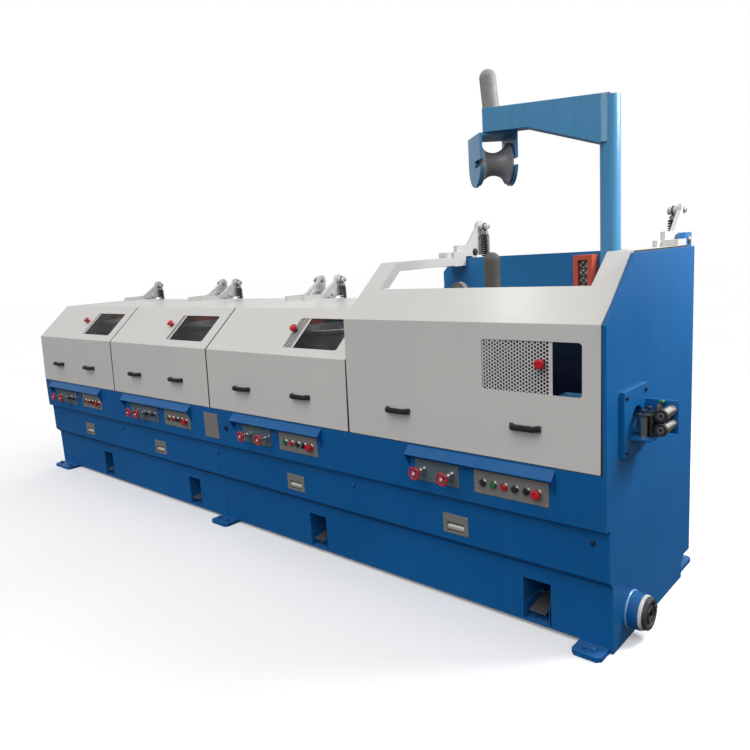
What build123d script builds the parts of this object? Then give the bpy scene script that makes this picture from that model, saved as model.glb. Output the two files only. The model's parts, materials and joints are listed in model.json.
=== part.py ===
"""Wire drawing machine: a straight row of four drawing blocks under lift-up hoods.

Millimetres. X runs along the machine towards the wire outlet, Y from the operator's side to the
back, Z up. The origin is on the floor, at the centre of the pattern of foundation bolts.
"""
import os
from math import cos, hypot, radians, sin

from build123d import *

os.makedirs("parts", exist_ok=True)

# Driving dimensions of the row
DEPTH = 898.0
SMALL_MODULES = 3
SMALL_PITCH = 1110.0
LAST_PITCH = 1238.0
END_PLATE = 14.0
FOOT_THICK = 19.0
SPLIT_MODULE = 2

# Heights and steps of the bed
DECK_Z = 700.0
UPPER_BAND = 205.0
MIDDLE_BAND = 201.0
UPPER_STEP = 25.0
LOWER_STEP = 29.5
STEP_SLOPE = 30.0

# Hoods
SHEET = 3.0
SEAM_GAP = 12.0
HOOD_LIFT = 4.0
SMALL_FOLD_Z = 1041.0
SMALL_TOP_Z = 1251.0
SMALL_BREAK = 251.0
TALL_FOLD_Z = 1230.0
TALL_TOP_Z = 1466.0
TALL_BREAK = 296.0
FRONT_LEAN = 12.0
REAR_WALL = 30.0
REAR_GAP = 7.0
ARM_WIDTH = 100.0
ARM_DEPTH = 42.0
TALL_SHEET_TOP_Z = 1351.0

# Lift-up hinges behind the rear wall
HINGE_REACH = 70.0
HINGE_RISE = 20.0
LEVER_INSET = 76.0
LEVER_THICK = 20.0
LEVER_REACH = 67.0
HINGE_PIN_R = 10.0
PIN_GAP = 0.3
SMALL_PEAK = 105.0
TALL_PEAK = 150.0
LEVER_HEAD_R = 34.0
LUG_THICK = 18.0
LUG_GAP = 6.0
SPRING_R = 17.0
SPRING_OUT = 32.0
SPRING_LENGTH = 190.0

# Blocks
BLOCK_R = 225.0
BLOCK_BACK = 450.0
BLOCK_HEIGHT = 300.0
BLOCK_BASE_Z = 130.0
BLOCK_OFF_MIDDLE = 3.0
LAST_BLOCK_X = 716.0

# Panels on the upper band
PLATE = 3.0
PANEL_BOTTOM_Z = 545.0
PANEL_HIGH = 96.0
PANEL_WIDE = 286.0
LAST_PANEL_WIDE = 328.0
PANEL_X = (356.0, 358.0, 367.0, 384.0)
VALVE_X = (758.0, 742.0, 698.0, 734.0)
VALVE_WIDE = (340.0, 330.0, 237.0, 226.0)
CANOPY_WIDE = (790.0, 790.0, 703.0, 690.0)
CANOPY_X = (600.0, 597.0, 540.0, 539.0)
CANOPY_TOP_Z = 695.0
CANOPY_DROP = 34.0
CANOPY_OUT = 34.0
CANOPY_CHEEK = 60.0
PULL_X = (499.0, 638.0, 438.0, 668.0)
PULL_WIDE = 128.0
PULL_HIGH = 86.0
PULL_Z = 368.0
PULL_DROP = 14.0
PEDAL_X = (336.0, 336.0, 325.0, 310.0)
POCKET_WIDE = 120.0
POCKET_HIGH = 177.0
POCKET_BOTTOM_Z = 27.0
POCKET_DEEP = 240.0

# Jib
COLUMN_R = 42.0
COLUMN_X = 280.0
COLUMN_FROM_WALL = 168.0
JIB_TOP_Z = 2098.0
JIB_LENGTH = 523.0
JIB_ROOT_DEEP = 193.0
JIB_TIP_DEEP = 99.0
JIB_ANGLE = 203.3
PULLEY_R = 90.0
PULLEY_WAIST_R = 50.0
PULLEY_LONG = 138.0
PULLEY_DROP = 125.0
PULLEY_YAW = 48.0
CHEEK_HIGH = 223.0
CHEEK_WIDE = 200.0
CHEEK = 12.0
POST_R = 36.0
POST_LONG = 165.0
POST_LEAN = 4.5

# Worked-out places
LENGTH = SMALL_MODULES * SMALL_PITCH + LAST_PITCH
LEFT_X = -LENGTH / 2
RIGHT_X = LENGTH / 2
FOOT_DEPTH = DEPTH - UPPER_STEP - LOWER_STEP
REAR_Y = FOOT_DEPTH / 2
FRONT_Y = REAR_Y - DEPTH
UPPER_Z = DECK_Z - UPPER_BAND
MIDDLE_Z = UPPER_Z - MIDDLE_BAND
LOWER_Y = FRONT_Y + UPPER_STEP + LOWER_STEP
PIVOT_Y = REAR_Y + HINGE_REACH
WALL_Y = REAR_Y - REAR_WALL
HOOD_REAR_Y = WALL_Y - REAR_GAP
SPLIT_X = LEFT_X + SPLIT_MODULE * SMALL_PITCH
BLOCK_Y = FRONT_Y + BLOCK_BACK
MODULES = range(SMALL_MODULES + 1)
LAST = SMALL_MODULES


def right_edge(module):
    """X of a module's right-hand edge, the end of the row for the last one."""
    return RIGHT_X if module == LAST else LEFT_X + (module + 1) * SMALL_PITCH


def left_edge(module):
    """X of a module's left-hand edge."""
    return LEFT_X + module * SMALL_PITCH


def save(solid, name):
    """Label a finished piece and write it out."""
    solid.label = name
    export_step(solid, "parts/" + name + ".step")


def bed_outline():
    """Points of the stepped bed section, front to back, as (y, z)."""
    return [
        (FRONT_Y, DECK_Z),
        (FRONT_Y, UPPER_Z),
        (FRONT_Y + UPPER_STEP, UPPER_Z),
        (FRONT_Y + UPPER_STEP, MIDDLE_Z),
        (LOWER_Y, MIDDLE_Z - STEP_SLOPE),
        (LOWER_Y, FOOT_THICK),
        (REAR_Y, FOOT_THICK),
        (REAR_Y, DECK_Z),
    ]


def prism_x(points, x_start, length):
    """Solid between two planes across the machine, from (y, z) points."""
    with BuildPart() as prism:
        with BuildSketch(Plane.YZ.offset(x_start)):
            with BuildLine():
                Polyline(*points, close=True)
            make_face()
        extrude(amount=length)
    return prism.part


def round_post(seat, radius, length):
    """Post with a half-round head, standing on a plane."""
    with BuildPart() as post:
        with BuildSketch(Plane(origin=seat.origin, x_dir=seat.x_dir, z_dir=-seat.y_dir)):
            with BuildLine():
                Line((0, 0), (radius, 0))
                Line((radius, 0), (radius, length - radius))
                CenterArc(center=(0, length - radius), radius=radius, start_angle=0, arc_size=90)
                Line((0, length), (0, 0))
            make_face()
        revolve(axis=Axis(origin=seat.origin, direction=seat.z_dir))
    return post.part


# Bed: two fabricated sections, bolted face to face
NOTCH_LONG = 60.0
NOTCH_WIDE = 105.0
NOTCH_HIGH = 97.0
RECESS_WIDE = 96.0
RECESS_HIGH = 52.0
RECESS_DEEP = 40.0


def build_bed(x_start, x_end, modules):
    """One bed section with its pedal pockets and the recesses behind the flush pulls."""
    with BuildPart() as bed:
        with BuildSketch(Plane.YZ.offset(x_start)):
            with BuildLine():
                Polyline(*bed_outline(), close=True)
            make_face()
        extrude(amount=x_end - x_start)
        for module in modules:
            pocket_x = right_edge(module) - PEDAL_X[module]
            pocket_z = POCKET_BOTTOM_Z + POCKET_HIGH / 2
            with BuildSketch(Plane.XZ.offset(-LOWER_Y)):
                with Locations((pocket_x, pocket_z)):
                    Rectangle(POCKET_WIDE, POCKET_HIGH)
            extrude(amount=-POCKET_DEEP, mode=Mode.SUBTRACT)
            pull_x = right_edge(module) - PULL_X[module]
            with BuildSketch(Plane.XZ.offset(-FRONT_Y - UPPER_STEP)):
                with Locations((pull_x, PULL_Z - PULL_DROP)):
                    Rectangle(RECESS_WIDE, RECESS_HIGH)
            extrude(amount=-RECESS_DEEP, mode=Mode.SUBTRACT)
        if LAST in modules:
            with BuildSketch(Plane.YZ.offset(x_end)):
                with Locations((REAR_Y - NOTCH_WIDE / 2, NOTCH_HIGH / 2)):
                    Rectangle(NOTCH_WIDE, NOTCH_HIGH)
            extrude(amount=-NOTCH_LONG, mode=Mode.SUBTRACT)
    return bed.part


save(build_bed(LEFT_X + END_PLATE, SPLIT_X, range(SPLIT_MODULE)), "bed_left")
save(build_bed(SPLIT_X, RIGHT_X - END_PLATE, range(SPLIT_MODULE, LAST + 1)), "bed_right")

# Foot plates: flat bars under the bed that reach out at the front and back
FOOT_OUT = 85.0
FOOT_WIDE = (230.0, 150.0, 117.0)
FOOT_HOLE_R = 9.0
FOOT_HOLE_OUT = 48.0
FOOT_HOLE_INSET = 40.0
FOOT_CORNER = 15.0


def foot_span(index):
    """Left and right edges of the foot plate at the left end, the split or the right end."""
    wide = FOOT_WIDE[index]
    start = (LEFT_X + END_PLATE, SPLIT_X - wide / 2, RIGHT_X - END_PLATE - wide)[index]
    return start, start + wide


FOOT_FRONT_Y = LOWER_Y - FOOT_OUT
FOOT_REAR_Y = REAR_Y + FOOT_OUT
with BuildPart() as foot_plates:
    for foot in range(3):
        foot_x0, foot_x1 = foot_span(foot)
        foot_mid = (foot_x0 + foot_x1) / 2
        hole_reach = (foot_x1 - foot_x0) / 2 - FOOT_HOLE_INSET
        hole_x = (foot_mid - hole_reach, foot_mid + hole_reach)
        hole_y = (FOOT_FRONT_Y + FOOT_OUT - FOOT_HOLE_OUT, FOOT_REAR_Y - FOOT_OUT + FOOT_HOLE_OUT)
        with BuildSketch() as foot_outline:
            with Locations((foot_mid, (FOOT_FRONT_Y + FOOT_REAR_Y) / 2)):
                Rectangle(foot_x1 - foot_x0, FOOT_REAR_Y - FOOT_FRONT_Y)
            chamfer(foot_outline.vertices(), FOOT_CORNER)
            with Locations([(x, y) for x in hole_x for y in hole_y]):
                Circle(FOOT_HOLE_R, mode=Mode.SUBTRACT)
        extrude(amount=FOOT_THICK)
save(foot_plates.part, "foot_plates")

# End plates
TALL_END_Z = TALL_TOP_Z - REAR_GAP
TALL_END_BREAK = 244.0
OUTLET_BACK = 235.0
OUTLET_Y = FRONT_Y + OUTLET_BACK
OUTLET_Z = 860.0
OUTLET_R = 45.0
with BuildPart() as end_plate_right:
    with BuildSketch(Plane.YZ.offset(RIGHT_X - END_PLATE)):
        with BuildLine():
            Polyline(
                (FRONT_Y, TALL_FOLD_Z),
                (FRONT_Y, UPPER_Z),
                (FRONT_Y + UPPER_STEP, UPPER_Z),
                (FRONT_Y + UPPER_STEP, MIDDLE_Z),
                (LOWER_Y, MIDDLE_Z - STEP_SLOPE),
                (LOWER_Y, 0),
                (REAR_Y - NOTCH_WIDE, 0),
                (REAR_Y - NOTCH_WIDE, NOTCH_HIGH),
                (REAR_Y, NOTCH_HIGH),
                (REAR_Y, TALL_END_Z),
                (FRONT_Y + TALL_END_BREAK, TALL_END_Z),
                close=True,
            )
        make_face()
        with Locations((OUTLET_Y, OUTLET_Z)):
            Circle(OUTLET_R, mode=Mode.SUBTRACT)
    extrude(amount=END_PLATE)
save(end_plate_right.part, "end_plate_right")

end_plate_left = prism_x([(y, z if z > FOOT_THICK else 0) for y, z in bed_outline()], LEFT_X, END_PLATE)
save(end_plate_left, "end_plate_left")

# Rear wall: full height behind the last hood, stepped down behind the others
HIGH_WALL_OVERHANG = 64.0
WALL_CORNER = 70.0
WALL_EDGE = 9.0
HIGH_WALL_X = left_edge(LAST) - HIGH_WALL_OVERHANG
LOW_WALL_Z = SMALL_TOP_Z - REAR_GAP
with BuildPart() as rear_wall:
    with BuildSketch(Plane.XZ.offset(-REAR_Y)):
        with BuildLine():
            Polyline(
                (LEFT_X, DECK_Z),
                (RIGHT_X - END_PLATE, DECK_Z),
                (RIGHT_X - END_PLATE, TALL_END_Z),
                (HIGH_WALL_X + WALL_CORNER, TALL_END_Z),
                (HIGH_WALL_X, TALL_END_Z - WALL_CORNER),
                (HIGH_WALL_X, LOW_WALL_Z),
                (LEFT_X, LOW_WALL_Z),
                close=True,
            )
        make_face()
    extrude(amount=REAR_WALL)
    with BuildSketch(Plane.XZ.offset(-REAR_Y + WALL_EDGE)):
        with Locations((left_edge(LAST) - HIGH_WALL_OVERHANG / 2, (LOW_WALL_Z + TALL_END_Z) / 2)):
            Rectangle(HIGH_WALL_OVERHANG, TALL_END_Z - LOW_WALL_Z)
    extrude(amount=REAR_WALL, mode=Mode.SUBTRACT)
save(rear_wall.part, "rear_wall")

# Hoods
HOOD_BOTTOM_Z = DECK_Z + HOOD_LIFT
CUT_LOW = 51.0
CUT_HIGH = 249.0
TALL_CUT_LOW_Z = 972.0
TALL_CUT_TOP_Z = 1166.0
CUT_RIGHT = (92.0, 89.0, 98.0, 90.0)
CUT_WIDE = (386.0, 386.0, 386.0, 410.0)
CLEAR_WIDE = (359.0, 348.0, 311.0, 113.0)
CUT_R = 14.0
WIRE_SLOT_WIDE = 90.0
WIRE_SLOT_TOP_Z = 960.0
END_GAP = 8.0


def hood_span(module):
    """Left and right faces of a hood, with half the seam gap taken off at each joint."""
    left = left_edge(module) + (0 if module == 0 else SEAM_GAP / 2)
    right = right_edge(module) - (END_PLATE + END_GAP if module == LAST else SEAM_GAP / 2)
    return left, right


def hood_profile(module):
    """Outer (y, z) section of a hood: front, slanted sight face and flat top."""
    tall = module == LAST
    fold_z = TALL_FOLD_Z if tall else SMALL_FOLD_Z
    top_z = TALL_TOP_Z if tall else SMALL_TOP_Z
    break_y = FRONT_Y + (TALL_BREAK if tall else SMALL_BREAK)
    return [
        (FRONT_Y, HOOD_BOTTOM_Z),
        (FRONT_Y + FRONT_LEAN, fold_z),
        (break_y, top_z),
        (HOOD_REAR_Y, top_z),
        (HOOD_REAR_Y, HOOD_BOTTOM_Z),
    ]


def top_of(module):
    """Height of a hood's flat top."""
    return TALL_TOP_Z if module == LAST else SMALL_TOP_Z


def slant_plane(module, along_x, climb):
    """Plane on a hood's slanted face: x along the row, y up the slope, z outward."""
    _, fold, brk, _, _ = hood_profile(module)
    run = hypot(brk[0] - fold[0], brk[1] - fold[1])
    up = (0, (brk[0] - fold[0]) / run, (brk[1] - fold[1]) / run)
    at = (along_x, fold[0] + climb * up[1], fold[1] + climb * up[2])
    return Plane(origin=at, x_dir=(1, 0, 0), z_dir=(0, -up[2], up[1]))


def front_plane(module, along_x, height):
    """Plane on a hood's leaning front: x along the row, y up the sheet, z outward."""
    low, fold = hood_profile(module)[:2]
    run = hypot(fold[0] - low[0], fold[1] - low[1])
    up = (0, (fold[0] - low[0]) / run, (fold[1] - low[1]) / run)
    lean = (fold[0] - low[0]) / (fold[1] - low[1])
    at = (along_x, low[0] + (height - low[1]) * lean, height)
    return Plane(origin=at, x_dir=(1, 0, 0), z_dir=(0, -up[2], up[1]))


def cut_plane(module):
    """Plane at the middle of a hood's cut-out: in the front of the last, the slanted face of the others."""
    middle_x = right_edge(module) - CUT_RIGHT[module] - CUT_WIDE[module] / 2
    if module == LAST:
        return front_plane(module, middle_x, (TALL_CUT_LOW_Z + TALL_CUT_TOP_Z) / 2)
    return slant_plane(module, middle_x, (CUT_LOW + CUT_HIGH) / 2)


def cut_high(module):
    """Height of a hood's cut-out, up its sheet."""
    return TALL_CUT_TOP_Z - TALL_CUT_LOW_Z if module == LAST else CUT_HIGH - CUT_LOW


def lever_outline(module):
    """Hull points and head centres of a hinge lever, as (y, z)."""
    top = top_of(module)
    peak = TALL_PEAK if module == LAST else SMALL_PEAK
    pivot = (PIVOT_Y, top + HINGE_RISE)
    head = (PIVOT_Y + LEVER_REACH, top + peak)
    return pivot, head


LEVER_FOOT_LONG = 150.0
LEVER_FOOT_HIGH = 26.0
TALL_FOOT_HIGH = 60.0
TALL_FOOT_START = 60.0
FIN_START = 20.0
END_BLOCK_LONG = 105.0
END_BLOCK_RISE = 26.0
END_BLOCK_DROP = 47.0
PIN_HEAD_R = 17.0
PIN_STUB = 48.0


def lever_places(module):
    """X of each lever's middle plane, with the side that faces the hood's inside."""
    left, right = hood_span(module)
    return ((1, left + LEVER_INSET), (-1, right - LEVER_INSET))


def end_block_places():
    """Middles of the blocks that close the rear ends of the last hood's arms."""
    left, right = hood_span(LAST)
    block_at_y = HOOD_REAR_Y - END_BLOCK_LONG / 2
    return [(left + ARM_WIDTH / 2, block_at_y), (right - ARM_WIDTH / 2, block_at_y)]


def build_levers(module):
    """The pair of hinge levers on top of a hood, each with the stub that its spring hangs on."""
    top = top_of(module)
    pivot, head = lever_outline(module)
    with BuildPart() as levers:
        for side, lever_x in lever_places(module):
            with BuildSketch(Plane.YZ.offset(lever_x - LEVER_THICK / 2)):
                with BuildLine():
                    Polyline(
                        (HOOD_REAR_Y - LEVER_FOOT_LONG, top),
                        (HOOD_REAR_Y - LEVER_FOOT_LONG, top + LEVER_FOOT_HIGH),
                        (HOOD_REAR_Y + FIN_START, top + LEVER_FOOT_HIGH),
                        (head[0] - LEVER_HEAD_R, head[1]),
                        (head[0] + LEVER_HEAD_R, head[1]),
                        (pivot[0] + LEVER_HEAD_R, pivot[1]),
                        (pivot[0], top),
                        close=True,
                    )
                make_face()
                if module == LAST:
                    with Locations((HOOD_REAR_Y, top + TALL_FOOT_HIGH / 2)):
                        Rectangle(2 * TALL_FOOT_START, TALL_FOOT_HIGH)
                with Locations(head, pivot):
                    Circle(LEVER_HEAD_R)
                with Locations(pivot):
                    Circle(HINGE_PIN_R + PIN_GAP, mode=Mode.SUBTRACT)
            extrude(amount=LEVER_THICK)
            with BuildSketch(Plane.YZ.offset(lever_x + side * LEVER_THICK / 2)):
                with Locations(head):
                    Circle(PIN_HEAD_R)
            extrude(amount=side * PIN_STUB)
        if module == LAST:
            with BuildSketch(Plane.XY.offset(top)):
                with Locations(*end_block_places()):
                    Rectangle(ARM_WIDTH, END_BLOCK_LONG)
            extrude(amount=END_BLOCK_RISE)
    return levers.part


def hood_shell(module):
    """Folded sheet with its two cheeks, open below and at the back, slotted over the wire."""
    left, right = hood_span(module)
    with BuildPart() as shell:
        with BuildSketch(Plane.YZ.offset(left)):
            with BuildLine():
                Polyline(*hood_profile(module), close=True)
            make_face()
        extrude(amount=right - left)
        low_face = shell.faces().sort_by(Axis.Z)[0]
        rear_face = shell.faces().sort_by(Axis.Y)[-1]
        offset(amount=-SHEET, openings=[low_face, rear_face], kind=Kind.INTERSECTION)
        with BuildSketch(Plane.YZ.offset(left)):
            with Locations((OUTLET_Y, (HOOD_BOTTOM_Z + WIRE_SLOT_TOP_Z) / 2)):
                Rectangle(WIRE_SLOT_WIDE, WIRE_SLOT_TOP_Z - HOOD_BOTTOM_Z)
        extrude(amount=right - left, mode=Mode.SUBTRACT)
    return shell.part


def cut_out(module):
    """Tool that cuts the rounded opening through a hood's sheet."""
    with BuildPart() as cutter:
        with BuildSketch(cut_plane(module).offset(SHEET)):
            RectangleRounded(CUT_WIDE[module], cut_high(module), CUT_R)
        extrude(amount=-3 * SHEET)
    return cutter.part


def build_small_hood(module):
    """Closed hood with a rounded cut-out in its slanted face."""
    shell = hood_shell(module)
    cutter = cut_out(module)
    with BuildPart() as hood:
        add(shell)
        add(cutter, mode=Mode.SUBTRACT)
    return hood.part


CHEEK_RISE = 4.0
CHEEK_TOP_Z = SMALL_TOP_Z + CHEEK_RISE


def arm_band():
    """Sketch of the flange that stiffens an arm, in the plane of the cheeks."""
    with BuildSketch() as band:
        with BuildLine():
            Polyline(*hood_profile(LAST), close=True)
        make_face()
        offset(amount=-ARM_DEPTH, kind=Kind.INTERSECTION, mode=Mode.SUBTRACT)
        with Locations((0, TALL_SHEET_TOP_Z + DEPTH / 2)):
            Rectangle(2 * DEPTH, DEPTH, mode=Mode.INTERSECT)
        with Locations((HOOD_REAR_Y, TALL_SHEET_TOP_Z)):
            Rectangle(2 * ARM_DEPTH, 2 * (TALL_TOP_Z - ARM_DEPTH - TALL_SHEET_TOP_Z), mode=Mode.SUBTRACT)
    return band.sketch


def build_tall_hood():
    """Last hood: open above its slanted sheet, with two arms that run back to the hinges."""
    left, right = hood_span(LAST)
    shell = hood_shell(LAST)
    cutter = cut_out(LAST)
    with BuildPart() as hood:
        add(shell)
        with BuildSketch(Plane.XY.offset(TALL_SHEET_TOP_Z)):
            with Locations(((left + right) / 2, 0)):
                Rectangle(right - left - 2 * ARM_WIDTH, 2 * DEPTH)
        extrude(amount=DEPTH, mode=Mode.SUBTRACT)
        with BuildSketch(Plane.YZ.offset(left)):
            with BuildLine():
                Polyline(*hood_profile(LAST), close=True)
            make_face()
            offset(amount=-ARM_DEPTH, kind=Kind.INTERSECTION, mode=Mode.REPLACE)
            with Locations((0, CHEEK_TOP_Z + DEPTH / 2)):
                Rectangle(3 * DEPTH, DEPTH, mode=Mode.INTERSECT)
            with Locations((HOOD_REAR_Y - ARM_DEPTH, (CHEEK_TOP_Z + TALL_TOP_Z - ARM_DEPTH) / 2)):
                Rectangle(4 * ARM_DEPTH, TALL_TOP_Z - ARM_DEPTH - CHEEK_TOP_Z)
        extrude(amount=2 * SHEET, mode=Mode.SUBTRACT)
        for flange_x in (left + ARM_WIDTH - SHEET, right - ARM_WIDTH):
            with BuildSketch(Plane.YZ.offset(flange_x)):
                add(arm_band())
            extrude(amount=SHEET)
        with BuildSketch(Plane.XY.offset(TALL_TOP_Z - END_BLOCK_DROP)):
            with Locations(*end_block_places()):
                Rectangle(ARM_WIDTH, END_BLOCK_LONG)
        extrude(amount=END_BLOCK_DROP)
        add(cutter, mode=Mode.SUBTRACT)
    return hood.part


for hood_module in range(SMALL_MODULES):
    save(build_small_hood(hood_module), f"hood_{hood_module + 1}")
save(build_tall_hood(), f"hood_{LAST + 1}")
for lever_module in MODULES:
    save(build_levers(lever_module), f"hood_levers_{lever_module + 1}")

# Grips and emergency knobs on the hoods
GRIP_X = ((809.0, 328.0), (801.0, 322.0), (788.0, 319.0), (928.0, 312.0))
GRIP_Z = 843.0
GRIP_LONG = 128.0
GRIP_WIDE = 24.0
GRIP_OUT = 34.0
GRIP_THICK = 11.0
GRIP_FOOT = 20.0
GRIP_ROUND = 9.0
KNOB_X = (535.0, 518.0, 470.0, 243.0)
KNOB_UP = 166.0
TALL_KNOB_Z = 1086.0
KNOB_R = 20.0
KNOB_STEM_R = 11.0
KNOB_OUT = 30.0
KNOB_CAP = 16.0
KNOB_ROUND = 7.0


def build_grips(module):
    """Two bridge handles and a mushroom knob, all standing on one hood."""
    edge = right_edge(module)
    over_cut = KNOB_X[module] < CUT_RIGHT[module] + CUT_WIDE[module]
    sink = SHEET if over_cut else 0
    if module == LAST:
        knob_plane = front_plane(module, edge - KNOB_X[module], TALL_KNOB_Z)
    else:
        knob_plane = slant_plane(module, edge - KNOB_X[module], KNOB_UP)
    with BuildPart() as grips:
        for offset_x in GRIP_X[module]:
            base = front_plane(module, edge - offset_x, GRIP_Z)
            side = Plane(origin=base.origin, x_dir=base.x_dir, z_dir=base.y_dir)
            with BuildSketch(side.offset(-GRIP_WIDE / 2)) as bridge:
                with Locations((0, -GRIP_OUT / 2)):
                    Rectangle(GRIP_LONG, GRIP_OUT)
                    with Locations((0, GRIP_THICK)):
                        Rectangle(GRIP_LONG - 2 * GRIP_FOOT, GRIP_OUT, mode=Mode.SUBTRACT)
                fillet(bridge.vertices().group_by(Axis.Y)[0], GRIP_ROUND)
            extrude(amount=GRIP_WIDE)
        with BuildSketch(knob_plane.offset(-sink)):
            Circle(KNOB_STEM_R)
        extrude(amount=sink + KNOB_OUT)
        with BuildSketch(knob_plane.offset(KNOB_OUT - KNOB_CAP)):
            Circle(KNOB_R)
        extrude(amount=KNOB_CAP)
        fillet(grips.edges().filter_by(GeomType.CIRCLE).group_by(SortBy.RADIUS)[-1], KNOB_ROUND)
    return grips.part


for grip_module in MODULES:
    save(build_grips(grip_module), f"hood_grips_{grip_module + 1}")


# Screens behind the cut-outs: a perforated sheet and, on the small hoods, a smoked pane beside it
SCREEN = 2.0
SCREEN_LAP = 15.0
SCREEN_GAP = 0.5
SCREEN_BORDER = 12.0
PANE = 4.0
HOLE_R = 4.0
HOLE_PITCH = 14.0
HOLE_COLUMNS = 4
STATED_HOLES = 12


def build_screen(module):
    """Perforated sheet behind the left part of a cut-out, with a few of its holes, and the pane."""
    half = CUT_WIDE[module] / 2
    high = cut_high(module)
    sheet_end = half - CLEAR_WIDE[module]
    sheet_wide = sheet_end + half + SCREEN_LAP
    field_wide = sheet_end + half - SCREEN_BORDER
    columns = max(1, min(HOLE_COLUMNS, int(field_wide / HOLE_PITCH)))
    rows = STATED_HOLES // columns
    pane_wide = CLEAR_WIDE[module] + SCREEN_LAP - SCREEN_GAP
    with BuildPart() as screen:
        with BuildSketch(cut_plane(module).offset(-SHEET)):
            with Locations((sheet_end - sheet_wide / 2, 0)):
                Rectangle(sheet_wide, high + 2 * SCREEN_LAP)
            with Locations((field_wide / 2 - half, 0)):
                with GridLocations(field_wide / columns, high / rows, columns, rows):
                    Circle(HOLE_R, mode=Mode.SUBTRACT)
        extrude(amount=-SCREEN)
        if module != LAST:
            with BuildSketch(cut_plane(module).offset(-SHEET)):
                with Locations((half + SCREEN_LAP - pane_wide / 2, 0)):
                    Rectangle(pane_wide, high + 2 * SCREEN_LAP)
            extrude(amount=-PANE)
    return screen.part


for screen_module in MODULES:
    save(build_screen(screen_module), f"hood_screen_{screen_module + 1}")

# Lugs behind the rear wall that carry the hinge pins and the lower spring seats
LUG_DOWN = 150.0
LUG_HEAD_R = 32.0
SEAT_THICK = 10.0
SEAT_WIDE = 60.0
SEAT_PAST = 28.0
SPRING_GAP = 0.3
TALL_SPRING_MORE = 60.0


def spring_span(module):
    """Lower and upper end of the springs of one hood."""
    _, head = lever_outline(module)
    top = head[1] - PIN_HEAD_R - SPRING_GAP
    length = SPRING_LENGTH + (TALL_SPRING_MORE if module == LAST else 0)
    return top - length, top


with BuildPart() as hinge_lugs:
    for lug_module in MODULES:
        lug_pivot, lug_head = lever_outline(lug_module)
        seat_z = spring_span(lug_module)[0] - SPRING_GAP - SEAT_THICK
        for lug_side, lever_x in lever_places(lug_module):
            inner_x = lever_x - lug_side * (LEVER_THICK / 2 + LUG_GAP)
            with BuildSketch(Plane.YZ.offset(inner_x)):
                with BuildLine():
                    Polyline(
                        (REAR_Y, lug_pivot[1] - LUG_DOWN),
                        (REAR_Y, lug_pivot[1]),
                        (lug_pivot[0], lug_pivot[1] + LUG_HEAD_R),
                        (lug_pivot[0] + LUG_HEAD_R, lug_pivot[1]),
                        close=True,
                    )
                make_face()
                with Locations(lug_pivot):
                    Circle(LUG_HEAD_R)
            extrude(amount=-lug_side * LUG_THICK)
            with BuildSketch(Plane.YZ.offset(inner_x)):
                with Locations(lug_pivot):
                    Circle(HINGE_PIN_R)
            extrude(amount=lug_side * (LUG_GAP + LEVER_THICK + HINGE_PIN_R))
            with BuildSketch(Plane.XY.offset(seat_z)):
                with Locations((lever_x + lug_side * SPRING_OUT, (REAR_Y + lug_head[0] + SEAT_PAST) / 2)):
                    Rectangle(SEAT_WIDE, lug_head[0] + SEAT_PAST - REAR_Y)
            extrude(amount=SEAT_THICK)
save(hinge_lugs.part, "hinge_lugs")


def build_springs(module):
    """The two counterbalance springs of one hood, from the seats up to the levers' stubs."""
    _, head = lever_outline(module)
    low, high = spring_span(module)
    with BuildPart() as springs:
        for side, lever_x in lever_places(module):
            with BuildSketch(Plane.XY.offset(low)):
                with Locations((lever_x + side * SPRING_OUT, head[0])):
                    Circle(SPRING_R)
            extrude(amount=high - low)
    return springs.part


for spring_module in MODULES:
    save(build_springs(spring_module), f"hood_springs_{spring_module + 1}")

# Drawing blocks on their housings
BASE_R = 200.0
BASE_TOP_R = 150.0
BLOCK_GAP = 0.3
SKIRT = 16.0
SKIRT_HIGH = 22.0
BARREL_TAPER = 5.0
LIP = 10.0
LIP_HIGH = 18.0
DISH_R = 190.0
DISH_DEEP = 60.0
HUB_R = 55.0
HUB_HIGH = 30.0


def block_x(module):
    """X of a block's spindle."""
    if module == LAST:
        return RIGHT_X - LAST_BLOCK_X
    return (left_edge(module) + right_edge(module)) / 2 + BLOCK_OFF_MIDDLE


with BuildPart() as block_bases:
    for base_module in MODULES:
        with BuildSketch(Plane.XY.offset(DECK_Z)):
            with Locations((block_x(base_module), BLOCK_Y)):
                Circle(BASE_R)
        extrude(amount=BLOCK_BASE_Z - BASE_R + BASE_TOP_R)
        with BuildSketch(Plane.XY.offset(DECK_Z)):
            with Locations((block_x(base_module), BLOCK_Y)):
                Circle(BASE_TOP_R)
        extrude(amount=BLOCK_BASE_Z)
save(block_bases.part, "block_bases")


def build_block(module):
    """One drawing block: flared skirt, slightly tapered barrel, lipped top and hub."""
    foot = DECK_Z + BLOCK_BASE_Z + BLOCK_GAP
    top = foot + BLOCK_HEIGHT
    with BuildPart() as block:
        with BuildSketch(Plane(origin=(block_x(module), BLOCK_Y, 0), x_dir=(1, 0, 0), z_dir=(0, -1, 0))):
            with BuildLine():
                Polyline(
                    (0, foot),
                    (BLOCK_R + SKIRT, foot),
                    (BLOCK_R + SKIRT, foot + SKIRT_HIGH),
                    (BLOCK_R, foot + SKIRT_HIGH + SKIRT),
                    (BLOCK_R - BARREL_TAPER, top - LIP_HIGH - LIP),
                    (BLOCK_R + LIP - BARREL_TAPER, top - LIP_HIGH),
                    (BLOCK_R + LIP - BARREL_TAPER, top),
                    (DISH_R, top),
                    (DISH_R, top - DISH_DEEP),
                    (HUB_R, top - DISH_DEEP),
                    (HUB_R, top - DISH_DEEP + HUB_HIGH),
                    (0, top - DISH_DEEP + HUB_HIGH),
                    close=True,
                )
            make_face()
        revolve(axis=Axis(origin=(block_x(module), BLOCK_Y, 0), direction=(0, 0, 1)))
    return block.part


for block_module in MODULES:
    save(build_block(block_module), f"block_{block_module + 1}")

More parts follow.
